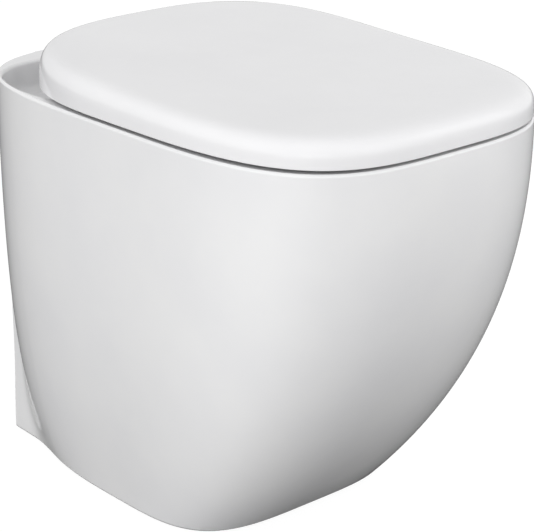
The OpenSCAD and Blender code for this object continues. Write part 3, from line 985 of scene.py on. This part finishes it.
    def pocket(self) -> Object:
        """Makes the sunken deck's space, with a coved foot and a rounded edge.

        Returns:
            The solid that is cut out.
        """
        cove, lip, start = self.pocket_cove, self.pocket_lip, self.deck_drop - self.pocket_cove
        depths = spread(self.deck_drop, start, self.cove_levels) + list(self.pocket_depths) + [-self.over]
        rings = [self.pocket_ring(self.height - h, self.pocket_slope * h + round_in(cove, h - start)
                                  - round_in(lip, lip - h)) for h in depths]
        return Workshop.capped("pocket", rings)

    # The bowl

    def bowl_share(self, z: float) -> float:
        """Returns how far the bowl has drawn in at a height, from 0 at its mouth to 1 at its sump."""
        down = (self.height - z) / (self.height - self.sump_z)
        return ease((down - self.bowl_straight) / self.bowl_fall)

    def bowl_middle(self, share: float) -> float:
        """Returns how far the bowl's middle is from the wall, at a share of the way to its sump."""
        return mix(self.depth * self.bowl_middle_share, self.sump_middle, share)

    def bowl_reach(self, angle: float, share: float) -> float:
        """Returns the bowl's reach in a direction, at a share of the way to its sump."""
        length = self.bowl_rear if math.sin(angle) > 0 else self.bowl_front
        return mix(egg(angle, self.bowl_width / 2, length, self.bowl_power), self.sump_radius, share)

    def bowl_ring(self, z: float, grow: float, count: int) -> Ring:
        """Returns the bowl's outline at a height.

        Args:
            z: The height.
            grow: How much larger it is made.
            count: The number of points.

        Returns:
            The ring.
        """
        share = self.bowl_share(z)
        low = min(self.sump_limit, max(0.0, self.sump_z - z) / (self.sump_z - self.sump_floor))
        middle = self.bowl_middle(share)
        ring: Ring = []
        for angle in angles(count):
            reach = self.bowl_reach(angle, share) * math.sqrt(1 - low * low) + grow
            ring.append((reach * math.cos(angle), reach * math.sin(angle) - middle, z))
        return ring

    def sump_levels(self, shares: Iterable[float]) -> list[float]:
        """Returns heights in the sump, from shares of the way down it."""
        return [self.sump_z - (self.sump_z - self.sump_floor) * share for share in shares]

    def bowl_inside(self) -> Object:
        """Makes the bowl's space, rounded over at the rim.

        Returns:
            The solid that is cut out.
        """
        edge = self.height - self.bowl_edge
        levels = self.sump_levels(self.sump_inside) + spread(self.sump_z, edge - self.clear, self.bowl_levels)
        levels += spread(edge, self.height - self.mouth_edge, self.edge_levels) + [self.height + self.over]
        rings = [self.bowl_ring(z, round_in(self.bowl_round, z - edge), self.bowl_steps) for z in levels]
        return Workshop.skinned("bowl", rings, (0, -self.sump_middle, self.sump_floor),
                                (0, -self.bowl_middle(0.0), self.height + self.over))

    def bowl_outside(self) -> Object:
        """Makes the bowl's outer shell.

        Returns:
            The solid.
        """
        drop, top = self.bowl_drop, self.height - self.shell_top
        levels = self.sump_levels(self.sump_outside) + spread(self.sump_z, top, self.shell_levels)
        rings = [[(x, y, h - drop) for x, y, h in self.bowl_ring(z, self.bowl_skin, self.shell_steps)]
                 for z in levels]
        return Workshop.skinned("bowl_shell", rings, (0, -self.sump_middle, self.sump_floor - drop),
                                (0, -self.bowl_middle(0.0), top - drop))

    # The trapway and the pipes

    def trap_stations(self, lead: float) -> list[Point]:
        """Lays out the trapway's middle line, from the sump to the outlet.

        Args:
            lead: The straight stretch ahead of the first bend.

        Returns:
            y, z and heading of each station.
        """
        bend, bend_out = self.trap_bend, self.trap_bend_out
        low_y, low_z = self.trap_low[0], self.trap_low[1] + bend
        bends = bend + bend_out
        low_count, crown_count, out_count = self.trap_steps
        dip, fall = math.radians(self.trap_dip), math.acos(1 - (self.trap_crown - self.outlet_z) / bends)
        out_z = self.outlet_z + bend_out
        crown_y, crown_z = low_y + 2 * bend, self.trap_crown - bend
        last_y = crown_y + bends * math.sin(fall)
        made = [(low_y - bend * math.sin(dip) - t * math.cos(dip),
                 low_z - bend * math.cos(dip) + t * math.sin(dip), -dip) for t in (lead, lead / 2)]
        made += [(low_y + bend * math.sin(a), low_z - bend * math.cos(a), a)
                 for a in spread(-dip, math.pi / 2, low_count)]
        made += [(crown_y - bend * math.sin(a), crown_z + bend * math.cos(a), a)
                 for a in spread(math.pi / 2, -fall, crown_count)]
        made += [(last_y + bend_out * math.sin(a), out_z - bend_out * math.cos(a), a)
                 for a in spread(-fall, 0, out_count)[1:]]
        return made + [(-self.outlet_span[0] - self.outlet_overlap[0], self.outlet_z, 0.0)]

    def trap_tube(self, radius: float, lead: float) -> Object:
        """Makes a solid that fills the trapway.

        Args:
            radius: The solid's radius.
            lead: The straight stretch ahead of the first bend.

        Returns:
            The solid.
        """
        stations = self.trap_stations(lead)
        rings = [[(-radius * math.cos(a), y - radius * math.sin(a) * math.sin(heading),
                   z + radius * math.sin(a) * math.cos(heading)) for a in angles(self.trap_sides)]
                 for y, z, heading in stations]
        first, last = stations[0], stations[-1]
        return Workshop.skinned("trap", rings, (0, first[0], first[1]), (0, last[0], last[1]))

    def chamber(self, name: str, wall: float) -> Object:
        """Makes the flush chamber's box, a wall smaller on each side."""
        across, length, tall = self.chamber_size
        return Workshop.block(
            name, (wall - across / 2, wall - self.chamber_start - length, self.inlet_z + wall - tall / 2),
            (across / 2 - wall, -wall - self.chamber_start, self.inlet_z - wall + tall / 2))

    def plumbing(self) -> list[Object]:
        """Makes what is joined to the skirt inside.

        Returns:
            The bowl's shell, the trap, the spigot, the flush horn and the bracket lugs.
        """
        skirt = self.rear_half(self.lug_span[0], (self.lug_z - self.lug_half) / self.height) - self.wall / 2
        lap = self.horn_overlap[0]

        def lug(side: Side) -> Object:
            """Returns one lug."""
            return Workshop.side_block("lug", side, (self.lug_x - self.lug_in, skirt),
                                       (-self.lug_span[1], self.lug_z - self.lug_half),
                                       (-self.lug_span[0], self.lug_z + self.lug_half))

        return [self.bowl_outside(),
                self.trap_tube(self.trap_bore + self.trap_skin, self.trap_shell_lead),
                Workshop.pipe("spigot", 0, self.outlet_z, self.outlet_span, self.outlet_radius),
                Workshop.pipe("boss", 0, self.inlet_z, self.inlet_span, self.inlet_boss),
                Workshop.pipe("horn", 0, self.inlet_z, (self.inlet_span[1] - lap, self.chamber_start + lap),
                              self.horn_radius),
                self.chamber("chamber", 0.0),
                *Workshop.mirrored(lug)]

    def flush_slot(self) -> Object:
        """Makes the slot from the flush chamber into the bowl.

        Returns:
            The solid that is cut out.
        """
        far = self.chamber_start + self.chamber_size[1]
        half, tall = self.slot_size[0] / 2 - self.slot_size[1] / 2, self.slot_size[1] / 2
        span = (far - self.slot_overlap[0], far + self.slot_overlap[1])
        slot = Workshop.block("slot", (-half, -span[1], self.inlet_z - tall),
                              (half, -span[0], self.inlet_z + tall))
        ends = Workshop.mirrored(lambda side: Workshop.pipe(
            "slot_end", side.value * half, self.inlet_z, span, tall))
        return Workshop.combine(slot, ends, "UNION")

    def bores(self) -> list[Object]:
        """Makes the spaces of the pipes, the flush slot, the stud holes and the bush holes.

        Returns:
            The solids that are cut out.
        """
        deck = self.height - self.deck_drop
        outlet = (self.outlet_span[0] - self.clear, self.outlet_span[0] + self.outlet_overlap[1])
        inlet = (self.inlet_span[0] - self.clear, self.inlet_span[1] - self.wall)
        horn = (self.inlet_span[1], self.chamber_start + self.horn_overlap[1])
        lug = (self.lug_span[0] - self.clear, self.lug_span[1] + self.clear)
        made = [self.trap_tube(self.trap_bore, self.trap_lead),
                Workshop.pipe("outlet", 0, self.outlet_z, outlet, self.outlet_bore),
                Workshop.pipe("inlet", 0, self.inlet_z, inlet, self.inlet_bore),
                Workshop.pipe("horn_way", 0, self.inlet_z, horn, self.horn_bore),
                self.chamber("chamber_room", self.chamber_wall),
                self.flush_slot()]
        made += Workshop.mirrored(lambda side: Workshop.post(
            "stud_hole", (side.value * self.stud_x, self.stud_y), (deck - 2 * self.wall, deck + self.wall),
            self.deck_hole))
        return made + Workshop.mirrored(lambda side: Workshop.pipe(
            "bush_hole", side.value * self.lug_x, self.lug_z, lug, self.bush_radius))

    def leave_bare(self, piece: Object) -> None:
        """Gives the foot, the back edge and the inside of the skirt the unglazed finish.

        Args:
            piece: The finished casting.
        """
        wall = cad_box[1].y
        floor = self.height - self.deck_drop - self.bare_drop
        for face in piece.data.polygons:
            x, y, z = face.center.x / MM, (face.center.y - wall) / MM, face.center.z / MM
            hidden = self.inside_skin(x, y, z) > self.bare_depth and z < floor and not self.in_bowl(x, y, z)
            if z < self.flat or y > -self.flat or hidden:
                face.material_index = 1

    def in_bowl(self, x: float, y: float, z: float) -> bool:
        """Tells whether a place is on the inside of the bowl or the pipes.

        Args:
            x: The place across the pan.
            y: The place along the pan.
            z: The height.

        Returns:
            Whether it is.
        """
        share = self.bowl_share(z)
        middle = self.bowl_middle(share)
        reach = self.bowl_reach(math.atan2(y + middle, x), share) + self.bare_bowl
        return z > self.sump_floor - self.bare_sump and math.hypot(x, y + middle) < reach

    def build(self) -> Object:
        """Makes the casting in place of its CAD node.

        Returns:
            The piece, riding on the pan body.
        """
        body = Workshop.combine(self.skin(), [self.hollow()], "DIFFERENCE")
        Workshop.combine(body, self.plumbing(), "UNION")
        Workshop.combine(body, [self.bowl_inside(), self.pocket(), *self.bores()], "DIFFERENCE")
        dress(body, self.glaze, self.bare)
        self.leave_bare(body)
        Workshop.smooth(body)
        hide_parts("pan")
        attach(body, "pan")
        return body


# ---- The lid and the seat ----


@dataclass
class LidAndSeat:
    """The wrap-over lid and the seat inside it, which share an outline. Millimetres, y = 0 at the wall."""

    lid_plastic: Material
    seat_plastic: Material
    rim: float = field(default_factory=lambda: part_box("pan")[1].z / MM)
    width: float = field(default_factory=lambda: 2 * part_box("lid")[1].x / MM)
    front: float = field(default_factory=lambda: (cad_box[1].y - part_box("lid")[0].y) / MM)
    back: float = field(default_factory=lambda: (cad_box[1].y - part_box("lid")[1].y) / MM)
    # The lid's shell
    middle: float = 261.0
    powers: Pair = (3.52, 2.97)
    crown: float = 33.0
    side: float = 10.0
    dome: Pair = (23.0, 2.6)
    tilt: float = 7.6
    dip: float = 6.5
    tilt_middle: float = 300.0
    tilt_span: float = 225.0
    shell: float = 5.5
    gap: float = 3.0
    edge_round: float = 1.2
    room_foot: float = 1.0
    room_edge: float = 0.997
    # Mesh fineness: points round a ring, levels at the lower edge, near the edge and in the middle, how far
    # those near the edge reach inwards, and where those in the middle begin and end, as shares
    skin_steps: int = 240
    room_steps: int = 200
    edge_levels: int = 6
    skin_levels: tuple[int, int] = (34, 12)
    skin_reach: float = 0.5
    skin_middle: Pair = (0.46, 0.04)
    room_levels: tuple[int, int] = (22, 8)
    room_reach: float = 0.457
    room_middle: Pair = (0.5, 0.05)
    # The hinges, on one axis for both
    axis: Pair = (-92.0, 422.0)
    lug_radius: float = 11.0
    lid_lug: Pair = (24.0, 45.0)
    seat_lug: Pair = (46.0, 64.0)
    damper_radius: float = 7.55
    shaft_radius: float = 4.05
    stub_radius: float = 5.05
    web_half: float = 9.0
    notch: Pair = (62.0, 96.5)
    notch_top: float = 438.0
    # The buffers' places and stems
    pad_place: Pair = (112.0, -428.0)
    pad_boss: float = 8.0
    pad_gap: Pair = (2.0, 3.0)
    buffer_places: tuple[Pair, ...] = ((143.0, -398.0), (143.0, -222.0))
    stem_radius: float = 3.05
    stem_length: float = 5.0
    # The seat
    seat_gap: float = 4.0
    seat_inset: float = 3.0
    seat_corner: float = 40.0
    seat_crown: float = 22.0
    seat_opening: float = 216.0
    seat_rear: float = 106.5
    seat_web: Point = (8.0, 1.0, 15.0)
    opening_middle: float = 330.75
    opening_reach: Pair = (124.0, 112.0)
    opening_power: float = 2.3
    # How far a cut stands past a face
    clear: float = 1.0

    def edge(self, angle: float, inset: float) -> float:
        """Returns the distance from the lid's middle to its edge.

        Args:
            angle: The direction, from +X towards the wall.
            inset: How far the edge is drawn in.

        Returns:
            The distance.
        """
        if math.sin(angle) > 0:
            return egg(angle, self.width / 2, self.middle - self.back, self.powers[1]) - inset
        return egg(angle, self.width / 2, self.front - self.middle, self.powers[0]) - inset

    def top(self, share: float, y: float, drop: float) -> float:
        """Returns the lid's height over the rim.

        Args:
            share: Share of the way from the lid's middle to its edge.
            y: The place along the lid.
            drop: How far below the outer skin.

        Returns:
            The height.
        """
        dome = (1 - min(1.0, share) ** self.dome[0]) ** (1 / self.dome[1])
        along = (-y - self.tilt_middle) / self.tilt_span
        crown = self.crown - drop - self.tilt * along + self.dip * along ** 2
        return self.side + (crown - self.side) * dome

    def lid_ring(self, share: float, inset: float, drop: float, count: int) -> Ring:
        """Returns a ring of the lid's skin.

        Args:
            share: Share of the way from the lid's middle to its edge.
            inset: How far the edge is drawn in.
            drop: How far below the outer skin.
            count: The number of points.

        Returns:
            The ring.
        """
        ring: Ring = []
        for angle in angles(count):
            reach = self.edge(angle, inset) * share
            y = reach * math.sin(angle) - self.middle
            ring.append((reach * math.cos(angle), y, self.rim + self.top(share, y, drop)))
        return ring

    def lid_outside(self) -> Object:
        """Makes the lid's outer solid, with a rounded lower edge.

        Returns:
            The solid.
        """
        foot = self.rim + self.gap
        rings = []
        for up in spread(0.0, self.edge_round, self.edge_levels):
            flat = self.lid_ring(1.0, round_in(self.edge_round, self.edge_round - up), 0, self.skin_steps)
            rings.append([(x, y, foot + up) for x, y, _ in flat])
        outer, inner = self.skin_levels
        shares = [1.0 - self.skin_reach * t ** 3 for t in spread(0.0, 1.0, outer)]
        shares += spread(*self.skin_middle, inner)
        rings += [self.lid_ring(share, 0, 0, self.skin_steps) for share in shares]
        return Workshop.skinned("lid_shell", rings, (0, -self.middle, foot),
                                (0, -self.middle, self.rim + self.top(0, -self.middle, 0)))

    def lid_inside(self) -> Object:
        """Makes the space under the lid.

        Returns:
            The solid that is cut out.
        """
        foot = self.rim + self.room_foot
        edge, steps = self.room_edge, self.room_steps
        outer, inner = self.room_levels
        rings = [[(x, y, foot) for x, y, _ in self.lid_ring(edge, self.shell, 0, steps)]]
        shares = [edge - self.room_reach * t ** 2 for t in spread(0.0, 1.0, outer)]
        shares += spread(*self.room_middle, inner)
        rings += [self.lid_ring(share, self.shell, self.shell, steps) for share in shares]
        return Workshop.skinned("lid_room", rings, (0, -self.middle, foot),
                                (0, -self.middle, self.rim + self.top(0, -self.middle, self.shell)))

    def axis_rod(self, side: Side, span: Pair, radius: float) -> Object:
        """Makes a rod on the hinge axis, on one side."""
        start, end = ((side.value * x, *self.axis) for x in span)
        return Workshop.rod("axis_rod", start, end, radius)

    def lid_post(self, side: Side) -> list[Object]:
        """Makes the solids that stay under the lid on one side.

        Args:
            side: The side.

        Returns:
            A lug, its web and a pad's boss.
        """
        web = Workshop.side_block("web", side, self.lid_lug, (self.axis[0] - self.web_half, self.axis[1]),
                                  (self.axis[0] + self.web_half, self.axis[1] + self.crown))
        low = self.rim + self.seat_crown + self.pad_gap[1]
        place = (side.value * self.pad_place[0], self.pad_place[1])
        boss = Workshop.post("boss", place, (low, low + self.crown), self.pad_boss)
        return [self.axis_rod(side, self.lid_lug, self.lug_radius), web, boss]

    def lid_cuts(self) -> list[Object]:
        """Makes what is cut out of the lid.

        Returns:
            The room under it, the carriers' notches, the pads' holes and the holes on the hinge axis.
        """
        posts = self.lid_post(Side.RIGHT) + self.lid_post(Side.LEFT)
        cuts = [Workshop.combine(self.lid_inside(), posts, "DIFFERENCE")]
        low = self.rim + self.seat_crown + self.pad_gap[0]
        for side in Side:
            place = (side.value * self.pad_place[0], self.pad_place[1])
            low_corner = (self.axis[0], self.rim + self.room_foot)
            cuts.append(Workshop.side_block("notch", side, self.notch, low_corner, (0, self.notch_top)))
            cuts.append(Workshop.post("pad_hole", place, (low, low + self.stem_length), self.stem_radius))
        span = (self.lid_lug[0] + self.clear, self.lid_lug[1] + self.clear)
        return cuts + [self.axis_rod(Side.RIGHT, span, self.damper_radius),
                       self.axis_rod(Side.LEFT, span, self.stub_radius)]

    def build_lid(self) -> Object:
        """Makes the lid in place of its CAD node.

        Returns:
            The piece, riding on the lid body.
        """
        lid = self.lid_outside()
        lugs = Workshop.mirrored(lambda side: self.axis_rod(side, self.lid_lug, self.lug_radius))
        Workshop.combine(lid, lugs, "UNION")
        Workshop.combine(lid, self.lid_cuts(), "DIFFERENCE")
        dress(lid, self.lid_plastic)
        Workshop.smooth(lid)
        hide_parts("lid")
        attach(lid, "lid")
        return lid

    def seat_edge(self, angle: float) -> Pair:
        """Returns the seat's outer edge in a direction, straight towards the hinges.

        Args:
            angle: The direction, from +X towards the wall.

        Returns:
            x and y of the edge.
        """
        reach = self.edge(angle, self.shell + self.seat_inset)
        if math.sin(angle) > 0:
            flat = (self.middle - self.seat_rear) / math.sin(angle)
            reach = reach if flat > reach + self.seat_corner else soft_min(reach, flat, self.seat_corner)
        return reach * math.cos(angle), reach * math.sin(angle) - self.middle

    def seat_mouth(self, angle: float) -> Pair:
        """Returns the edge of the seat's opening in a direction.

        Args:
            angle: The direction, from +X towards the wall.

        Returns:
            x and y of the edge.
        """
        length = self.opening_reach[1] if math.sin(angle) > 0 else self.opening_reach[0]
        reach = egg(angle, self.seat_opening / 2, length, self.opening_power)
        return reach * math.cos(angle), reach * math.sin(angle) - self.opening_middle

    def seat_section(self) -> list[Pair]:
        """Lays out the seat's section.

        Returns:
            Share of the way outwards and height over the underside, of each point.
        """
        top = self.seat_crown - self.seat_gap
        inner = [(0.05, 0), (0.03, 0.15), (0.012, 0.8), (0.002, 2.0), (0, 4), (0.002, 6.5), (0.01, 8.6),
                 (0.025, 10.4), (0.06, 12.4), (0.12, 14.6), (0.2, 16.4)]
        crest = [(0.32, top - 0.5), (0.45, top), (0.58, top - 0.25), (0.7, top - 1), (0.79, top - 2.2)]
        outer = [(0.86, top - 3.7), (0.915, top - 6.0), (0.955, top - 8.7), (0.985, top - 11.5),
                 (1, 5), (1, 2), (0.997, 0.6), (0.985, 0)]
        return inner + crest + outer

    def seat_hoop(self, base: float) -> Object:
        """Makes the seat's ring.

        Args:
            base: The height of its underside.

        Returns:
            The solid.
        """
        sections = []
        for angle in angles(self.skin_steps):
            inner, outer = self.seat_mouth(angle), self.seat_edge(angle)
            sections.append([(mix(inner[0], outer[0], share), mix(inner[1], outer[1], share), base + up)
                             for share, up in self.seat_section()])
        seat = Workshop.hooped("seat", sections)
        seat.data.flip_normals()
        return seat

    def build_seat(self) -> Object:
        """Makes the seat ring in place of its CAD node.

        Returns:
            The piece, riding on the seat body.
        """
        base = self.rim + self.seat_gap
        seat = self.seat_hoop(base)
        for side in Side:
            web = Workshop.side_block("web", side, self.seat_lug,
                                      (-self.seat_rear - self.seat_web[0], base + self.seat_web[1]),
                                      (self.axis[0], base + self.seat_web[2]))
            Workshop.combine(seat, [self.axis_rod(side, self.seat_lug, self.lug_radius), web], "UNION")
        span = (self.seat_lug[0] - self.clear, self.seat_lug[1] + self.clear)
        cuts = [self.axis_rod(Side.LEFT, span, self.damper_radius),
                self.axis_rod(Side.RIGHT, span, self.shaft_radius)]
        for x, y in self.buffer_places:
            for side in Side:
                cuts.append(Workshop.post("stem_hole", (side.value * x, y),
                                          (base - self.clear, base + self.stem_length), self.stem_radius))
        Workshop.combine(seat, cuts, "DIFFERENCE")
        dress(seat, self.seat_plastic)
        Workshop.smooth(seat)
        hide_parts("seat_ring")
        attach(seat, "seat")
        return seat


# ---- Small parts that keep their CAD shape ----


@dataclass
class SmallParts:
    """The hinges, pads, seals and fixings, which only need their finishes."""

    plastic: Material
    rubber: Material
    chrome: Material
    steel: Material
    plated: Material
    brass: Material
    nylon: Material

    def finishes(self) -> dict[str, Material]:
        """Returns the finish of each CAD node that stays."""
        return {
            "seat_buffers": self.rubber, "lid_buffers": self.rubber, "hinge_gaskets": self.rubber,
            "hinge_sleeves": self.rubber, "inlet_seal": self.rubber,
            "hinge_carrier_left": self.plastic, "hinge_carrier_right": self.plastic,
            "release_button_left": self.chrome, "release_button_right": self.chrome,
            "hinge_discs": self.chrome,
            "latch_clips": self.steel, "seat_damper_shaft": self.steel, "lid_damper_shaft": self.steel,
            "hinge_studs": self.steel, "hinge_nuts": self.brass,
            "seat_damper": self.nylon, "lid_damper": self.nylon, "bracket_bushes": self.nylon,
            "floor_brackets": self.plated, "bracket_pins": self.plated, "bracket_nuts": self.plated,
        }

    def build(self) -> None:
        """Dresses each node."""
        for node, finish in self.finishes().items():
            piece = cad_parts[node]
            dress(piece, finish)
            Workshop.shade(piece, SMALL_CREASE)
            log.info("dressed %s in %s", node, finish.name)


# ---- The studio ----


@dataclass(frozen=True)
class Lamp:
    """A soft box: its place, its width and height, its power in watts and whether it shows in the gloss."""

    name: str
    place: Point
    size: Pair
    power: float
    shows: bool = True

    def build(self, aim: Point) -> None:
        """Makes the lamp.

        Args:
            aim: The place that it faces.
        """
        data = bpy.data.lights.new(self.name, "AREA")
        data.shape = "RECTANGLE"
        data.size, data.size_y = self.size
        data.energy = self.power
        lamp = bpy.data.objects.new(self.name, data)
        bpy.context.scene.collection.objects.link(lamp)
        lamp.location = self.place
        lamp.rotation_euler = (Vector(aim) - Vector(self.place)).to_track_quat("-Z", "Y").to_euler()
        lamp.visible_glossy = self.shows


@dataclass
class Studio:
    """Camera, lamps, world and floor, in metres."""

    camera_place: Point = (-1.1892, -1.3726, 0.9128)
    camera_look: Point = (0.61652, 0.70443, -0.35134)
    photo_width_px: int = 534
    focal_px: float = 1968.4
    sensor_mm: float = 36.0
    world_light: float = 0.832
    floor_half: float = 6.0
    floor_z: float = -0.0004
    floor_colour: Colour = (0.12, 0.12, 0.12)
    floor_glow: float = 0.93
    aim: Point = (0.0, -0.02, 0.28)
    lamps: tuple[Lamp, ...] = (
        Lamp("low_strip", (-2.6, -1.2, 0.25), (1.6, 0.5), 39.5, shows=False),
        Lamp("side_fill", (2.0, -1.58, 1.46), (1.2, 1.4), 13.4, shows=False),
        Lamp("low_card", (0.95, -1.05, 0.03), (0.5, 0.5), 5.8, shows=False),
        Lamp("key_box", (-2.1, -2.3, 0.7), (1.4, 1.2), 2.0),
        Lamp("flank_box", (-2.6, 0.2, 0.9), (1.2, 1.4), 1.5),
        Lamp("right_box", (1.9, -1.5, 1.4), (1.2, 1.4), 3.0),
        Lamp("front_box", (0.5, -2.6, 1.5), (1.2, 1.6), 2.0))

    def add_camera(self) -> None:
        """Makes the camera at the photograph's viewing angle."""
        data = bpy.data.cameras.new("camera")
        data.sensor_width = self.sensor_mm
        data.sensor_fit = "HORIZONTAL"
        data.lens = self.sensor_mm * self.focal_px / self.photo_width_px
        camera = bpy.data.objects.new("camera", data)
        bpy.context.scene.collection.objects.link(camera)
        camera.location = self.camera_place
        camera.rotation_euler = Vector(self.camera_look).to_track_quat("-Z", "Y").to_euler()
        bpy.context.scene.camera = camera

    @staticmethod
    def seen_directly(tree: Tree) -> Socket:
        """Returns a value of 1 for what the camera sees."""
        return tree.nodes.new("ShaderNodeLightPath").outputs["Is Camera Ray"]

    @staticmethod
    def background(tree: Tree, strength: float) -> Socket:
        """Adds a white background.

        Args:
            tree: The world's nodes.
            strength: Its brightness.

        Returns:
            The background's output.
        """
        node = tree.nodes.new("ShaderNodeBackground")
        node.inputs["Color"].default_value = WHITE
        node.inputs["Strength"].default_value = strength
        return node.outputs[0]

    def set_world(self) -> None:
        """Lights the room evenly and shows it white."""
        world = bpy.data.worlds.new("studio")
        bpy.context.scene.world = world
        world.use_nodes = True
        tree = world.node_tree
        tree.nodes.clear()
        either = tree.nodes.new("ShaderNodeMixShader")
        out = tree.nodes.new("ShaderNodeOutputWorld")
        tree.links.new(self.seen_directly(tree), either.inputs[0])
        tree.links.new(self.background(tree, self.world_light), either.inputs[1])
        tree.links.new(self.background(tree, 1.0), either.inputs[2])
        tree.links.new(either.outputs[0], out.inputs["Surface"])

    def pale_floor(self) -> Material:
        """Makes the floor's finish, which shows white to the camera and keeps the shadow.

        Returns:
            The material.
        """
        material = bpy.data.materials.new("pale_floor")
        material.use_nodes = True
        tree = material.node_tree
        tree.nodes.clear()
        paint = tree.nodes.new("ShaderNodeBsdfDiffuse")
        paint.inputs["Color"].default_value = (*self.floor_colour, 1.0)
        glow = tree.nodes.new("ShaderNodeEmission")
        glow.inputs["Color"].default_value = WHITE
        strength = tree.nodes.new("ShaderNodeMath")
        strength.operation = "MULTIPLY"
        strength.inputs[1].default_value = self.floor_glow
        tree.links.new(self.seen_directly(tree), strength.inputs[0])
        tree.links.new(strength.outputs[0], glow.inputs["Strength"])
        both = tree.nodes.new("ShaderNodeAddShader")
        out = tree.nodes.new("ShaderNodeOutputMaterial")
        tree.links.new(paint.outputs[0], both.inputs[0])
        tree.links.new(glow.outputs[0], both.inputs[1])
        tree.links.new(both.outputs[0], out.inputs["Surface"])
        return material

    def add_floor(self) -> None:
        """Adds the floor."""
        half = self.floor_half
        mesh = bpy.data.meshes.new("floor")
        corners = [(-half, -half, 0), (half, -half, 0), (half, half, 0), (-half, half, 0)]
        mesh.from_pydata(corners, [], [(0, 1, 2, 3)])
        floor = bpy.data.objects.new("floor", mesh)
        bpy.context.scene.collection.objects.link(floor)
        floor.location.z = self.floor_z
        mesh.materials.append(self.pale_floor())

    def build(self) -> None:
        """Sets up the whole studio."""
        self.add_camera()
        self.set_world()
        self.add_floor()
        for lamp in self.lamps:
            lamp.build(self.aim)
        bpy.context.scene.view_settings.view_transform = "Standard"


def main() -> None:
    """Builds the toilet and its studio."""
    logging.basicConfig(level=logging.INFO, format="%(message)s")
    Studio().build()
    pan = Pan(Glaze().build(), Bisque().build()).build()
    top = LidAndSeat(
        lid_plastic=Moulded("lid_plastic", (0.83, 0.828, 0.838), (0.80, 0.798, 0.81)).build(),
        seat_plastic=Moulded("seat_plastic", (0.83, 0.828, 0.835), (0.80, 0.80, 0.806)).build(),
    )
    for piece in (pan, top.build_lid(), top.build_seat()):
        log.info("made %s with %d faces", piece.name, len(piece.data.polygons))
    SmallParts(
        plastic=Moulded("hinge_plastic", (0.78, 0.78, 0.79), (0.74, 0.74, 0.75), (0.25, 0.35)).build(),
        rubber=Rubber().build(),
        chrome=Metal("chromed_metal", (0.86, 0.86, 0.88), MetalLook.POLISHED).build(),
        steel=Metal("turned_steel", (0.66, 0.66, 0.68), MetalLook.BRUSHED).build(),
        plated=Metal("zinc_plated_metal", (0.62, 0.64, 0.68), MetalLook.PLATED).build(),
        brass=Metal("turned_brass", (0.80, 0.62, 0.30), MetalLook.BRUSHED).build(),
        nylon=Moulded("nylon", (0.72, 0.71, 0.66), (0.66, 0.65, 0.6), (0.35, 0.5), 0.0).build(),
    ).build()


if __name__ == "__main__":
    main()
